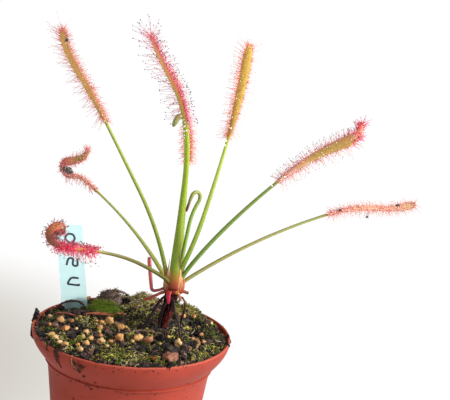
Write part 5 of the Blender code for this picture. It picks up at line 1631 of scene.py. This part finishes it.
SPROUTS = {
    "young_leaf": dict(
        start=(18.8, 3.4, 107.4), azimuth=65, swing=-34, length=51, radii=(0.95, 0.85, 0.65),
        rise=[(0, 80), (0.45, 79), (0.66, 54), (0.72, 98), (0.78, 170), (0.84, 248), (1, 259)],
        low=(0.24, 0.36, 0.05), high=(0.32, 0.30, 0.07), end=(0.22, 0.05, 0.03), turns=0.88),
    "flower_shoot": dict(
        start=(15.6, 3.9, 107.4), azimuth=213, swing=-5, length=80.5, radii=(0.75, 0.75, 1.3),
        rise=[(0, 102), (0.5, 85), (0.84, 88), (0.9, 38), (0.95, -63), (1, -71)],
        low=(0.24, 0.36, 0.05), high=(0.40, 0.44, 0.13), end=(0.13, 0.16, 0.03), turns=0.96),
}
SPROUT_BACK = 3  # how far back into the crown each is drawn
SPROUT_STEPS = 90
TIP_STEPS = (0.96, 0.975, 0.985, 0.993, 0.998, 1)  # the stations of the last part, which rounds off
BUD_STARTS = 0.84
BUD_FULL = 0.92
BUD_ROUNDS = 0.955

for name, spec in SPROUTS.items():
    total = spec["length"]
    lengths = [total * i / SPROUT_STEPS for i in range(SPROUT_STEPS - 4)] + [total * k for k in TIP_STEPS]
    route = grown_route(Vector(spec["start"]) * MM, spec, [length * MM for length in lengths])
    foot, middle, tip = spec["radii"]
    point, along, across, up = route[0]
    route = [(point - along * SPROUT_BACK * MM, along, across, up)] + route
    lengths = [-SPROUT_BACK] + lengths
    sections = []
    for length, (point, _, across, up) in zip(lengths, route):
        share = max(0, length / total)
        radius = eased(foot, middle, share * 2)
        if share > BUD_STARTS:
            radius = eased(middle, tip, (share - BUD_STARTS) / (BUD_FULL - BUD_STARTS))
        if share > BUD_ROUNDS:
            radius *= math.sqrt(max(0.003, 1 - ((share - BUD_ROUNDS) / (1 - BUD_ROUNDS)) ** 2))
        sections.append((point, across * radius * MM, up * radius * MM))
    bm, rings, layer = swept(sections, 16)
    for ring, length in zip(rings, lengths):
        share = max(0, length / total)
        colour = between(SHEATH, spec["low"], (length + SPROUT_BACK) / 9)
        colour = between(colour, spec["high"], (share - 0.6) / 0.3)
        colour = between(colour, spec["end"], (share - spec["turns"]) / 0.06)
        for vert in ring:
            vert[layer] = (*colour, 1)
    show(name + "_grown", bm, leaf_finish, "young_growth", name)


# ---- Caught gnats ----
# Small dark flies stuck in the glue: a round thorax, a head, a longer abdomen, folded wings and legs.
# The first is only a grey lump. The last is a very small one, which no solid stands for.

GNAT_DARK = (0.035, 0.032, 0.032)
GNAT_GREY = (0.07, 0.066, 0.062)
GNAT_WING = (0.42, 0.40, 0.36)
GNATS = [  # the solid's name, how much bigger it looks with its legs drawn up, and how far it hangs aside
    ("gnat_1", 2.5, (1.5, -2.6, -0.5)), ("gnat_2", 1.8, (0.3, -3.0, -0.6)), ("gnat_3", 1.2, (0, -0.8, 0)),
    ("gnat_4", 1.3, (0, -1.2, 0.3)), ("gnat_5", 1.3, (-0.5, -1.5, -1.2)), (None, 1.3, (0, 0, 0))]
SMALL_GNAT = ((114.0, 19.8, 145.1), (115.5, 21.2, 146.6))  # its corners, near the tip of leaf_lower_right
GNAT_BODY = [  # place and half sizes of thorax, abdomen and head
    ((0.15, 0, 0.1), (0.62, 0.56, 0.58)), ((-0.5, 0, -0.1), (0.55, 0.4, 0.4)),
    ((0.72, 0, 0.12), (0.3, 0.32, 0.3))]
GNAT_LEGS = (-0.3, 0.1, 0.45)

gnat_finish = tinted_finish("insect", 0.45, 0.7, 1.4, 1500, 0.04 * MM)
body, body_corners = bead_shape("body", 12, 8)
for k, (node, grown, aside) in enumerate(GNATS):
    low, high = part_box(node) if node else (Vector(corner) * MM for corner in SMALL_GNAT)
    centre = (low + high) / 2 + Vector(aside) * MM
    radius = (high - low).x / 2 * grown
    turn = np.array(Matrix.Rotation(k * 1.9, 3, "Z") @ Matrix.Rotation(0.5, 3, "Y"))
    bm = bmesh.new()
    tone = GNAT_DARK if k else GNAT_GREY
    for place, sizes in GNAT_BODY:
        made = (body_corners * np.array(sizes) + np.array(place)) * radius
        add_copy(bm, body, made @ turn.T + np.array(centre), tone)
    for side in (-1, 1) if k else ():
        wing = body_corners * np.array((0.6, 0.24, 0.03)) + np.array((-0.55, side * 0.28, 0.42))
        add_copy(bm, body, wing * radius @ turn.T + np.array(centre), GNAT_WING)
        for leg in GNAT_LEGS:
            foot = Vector(turn @ np.array((leg, side * 0.3, -0.2))) * radius + centre
            reach = Vector(turn @ np.array((leg * 0.6, side * 0.75, -0.35))) * radius
            laid = bend_strand(hair_corners, foot, reach, Vector((0, 0, -0.2 * radius)), 0.05 * radius)
            add_copy(bm, hair, laid, graded(hair_corners, tone, tone))
    if node:
        show(node.replace("gnat", "caught_gnat"), bm, gnat_finish, "insect", node)
    else:
        show("small_gnat", bm, gnat_finish, "insect")
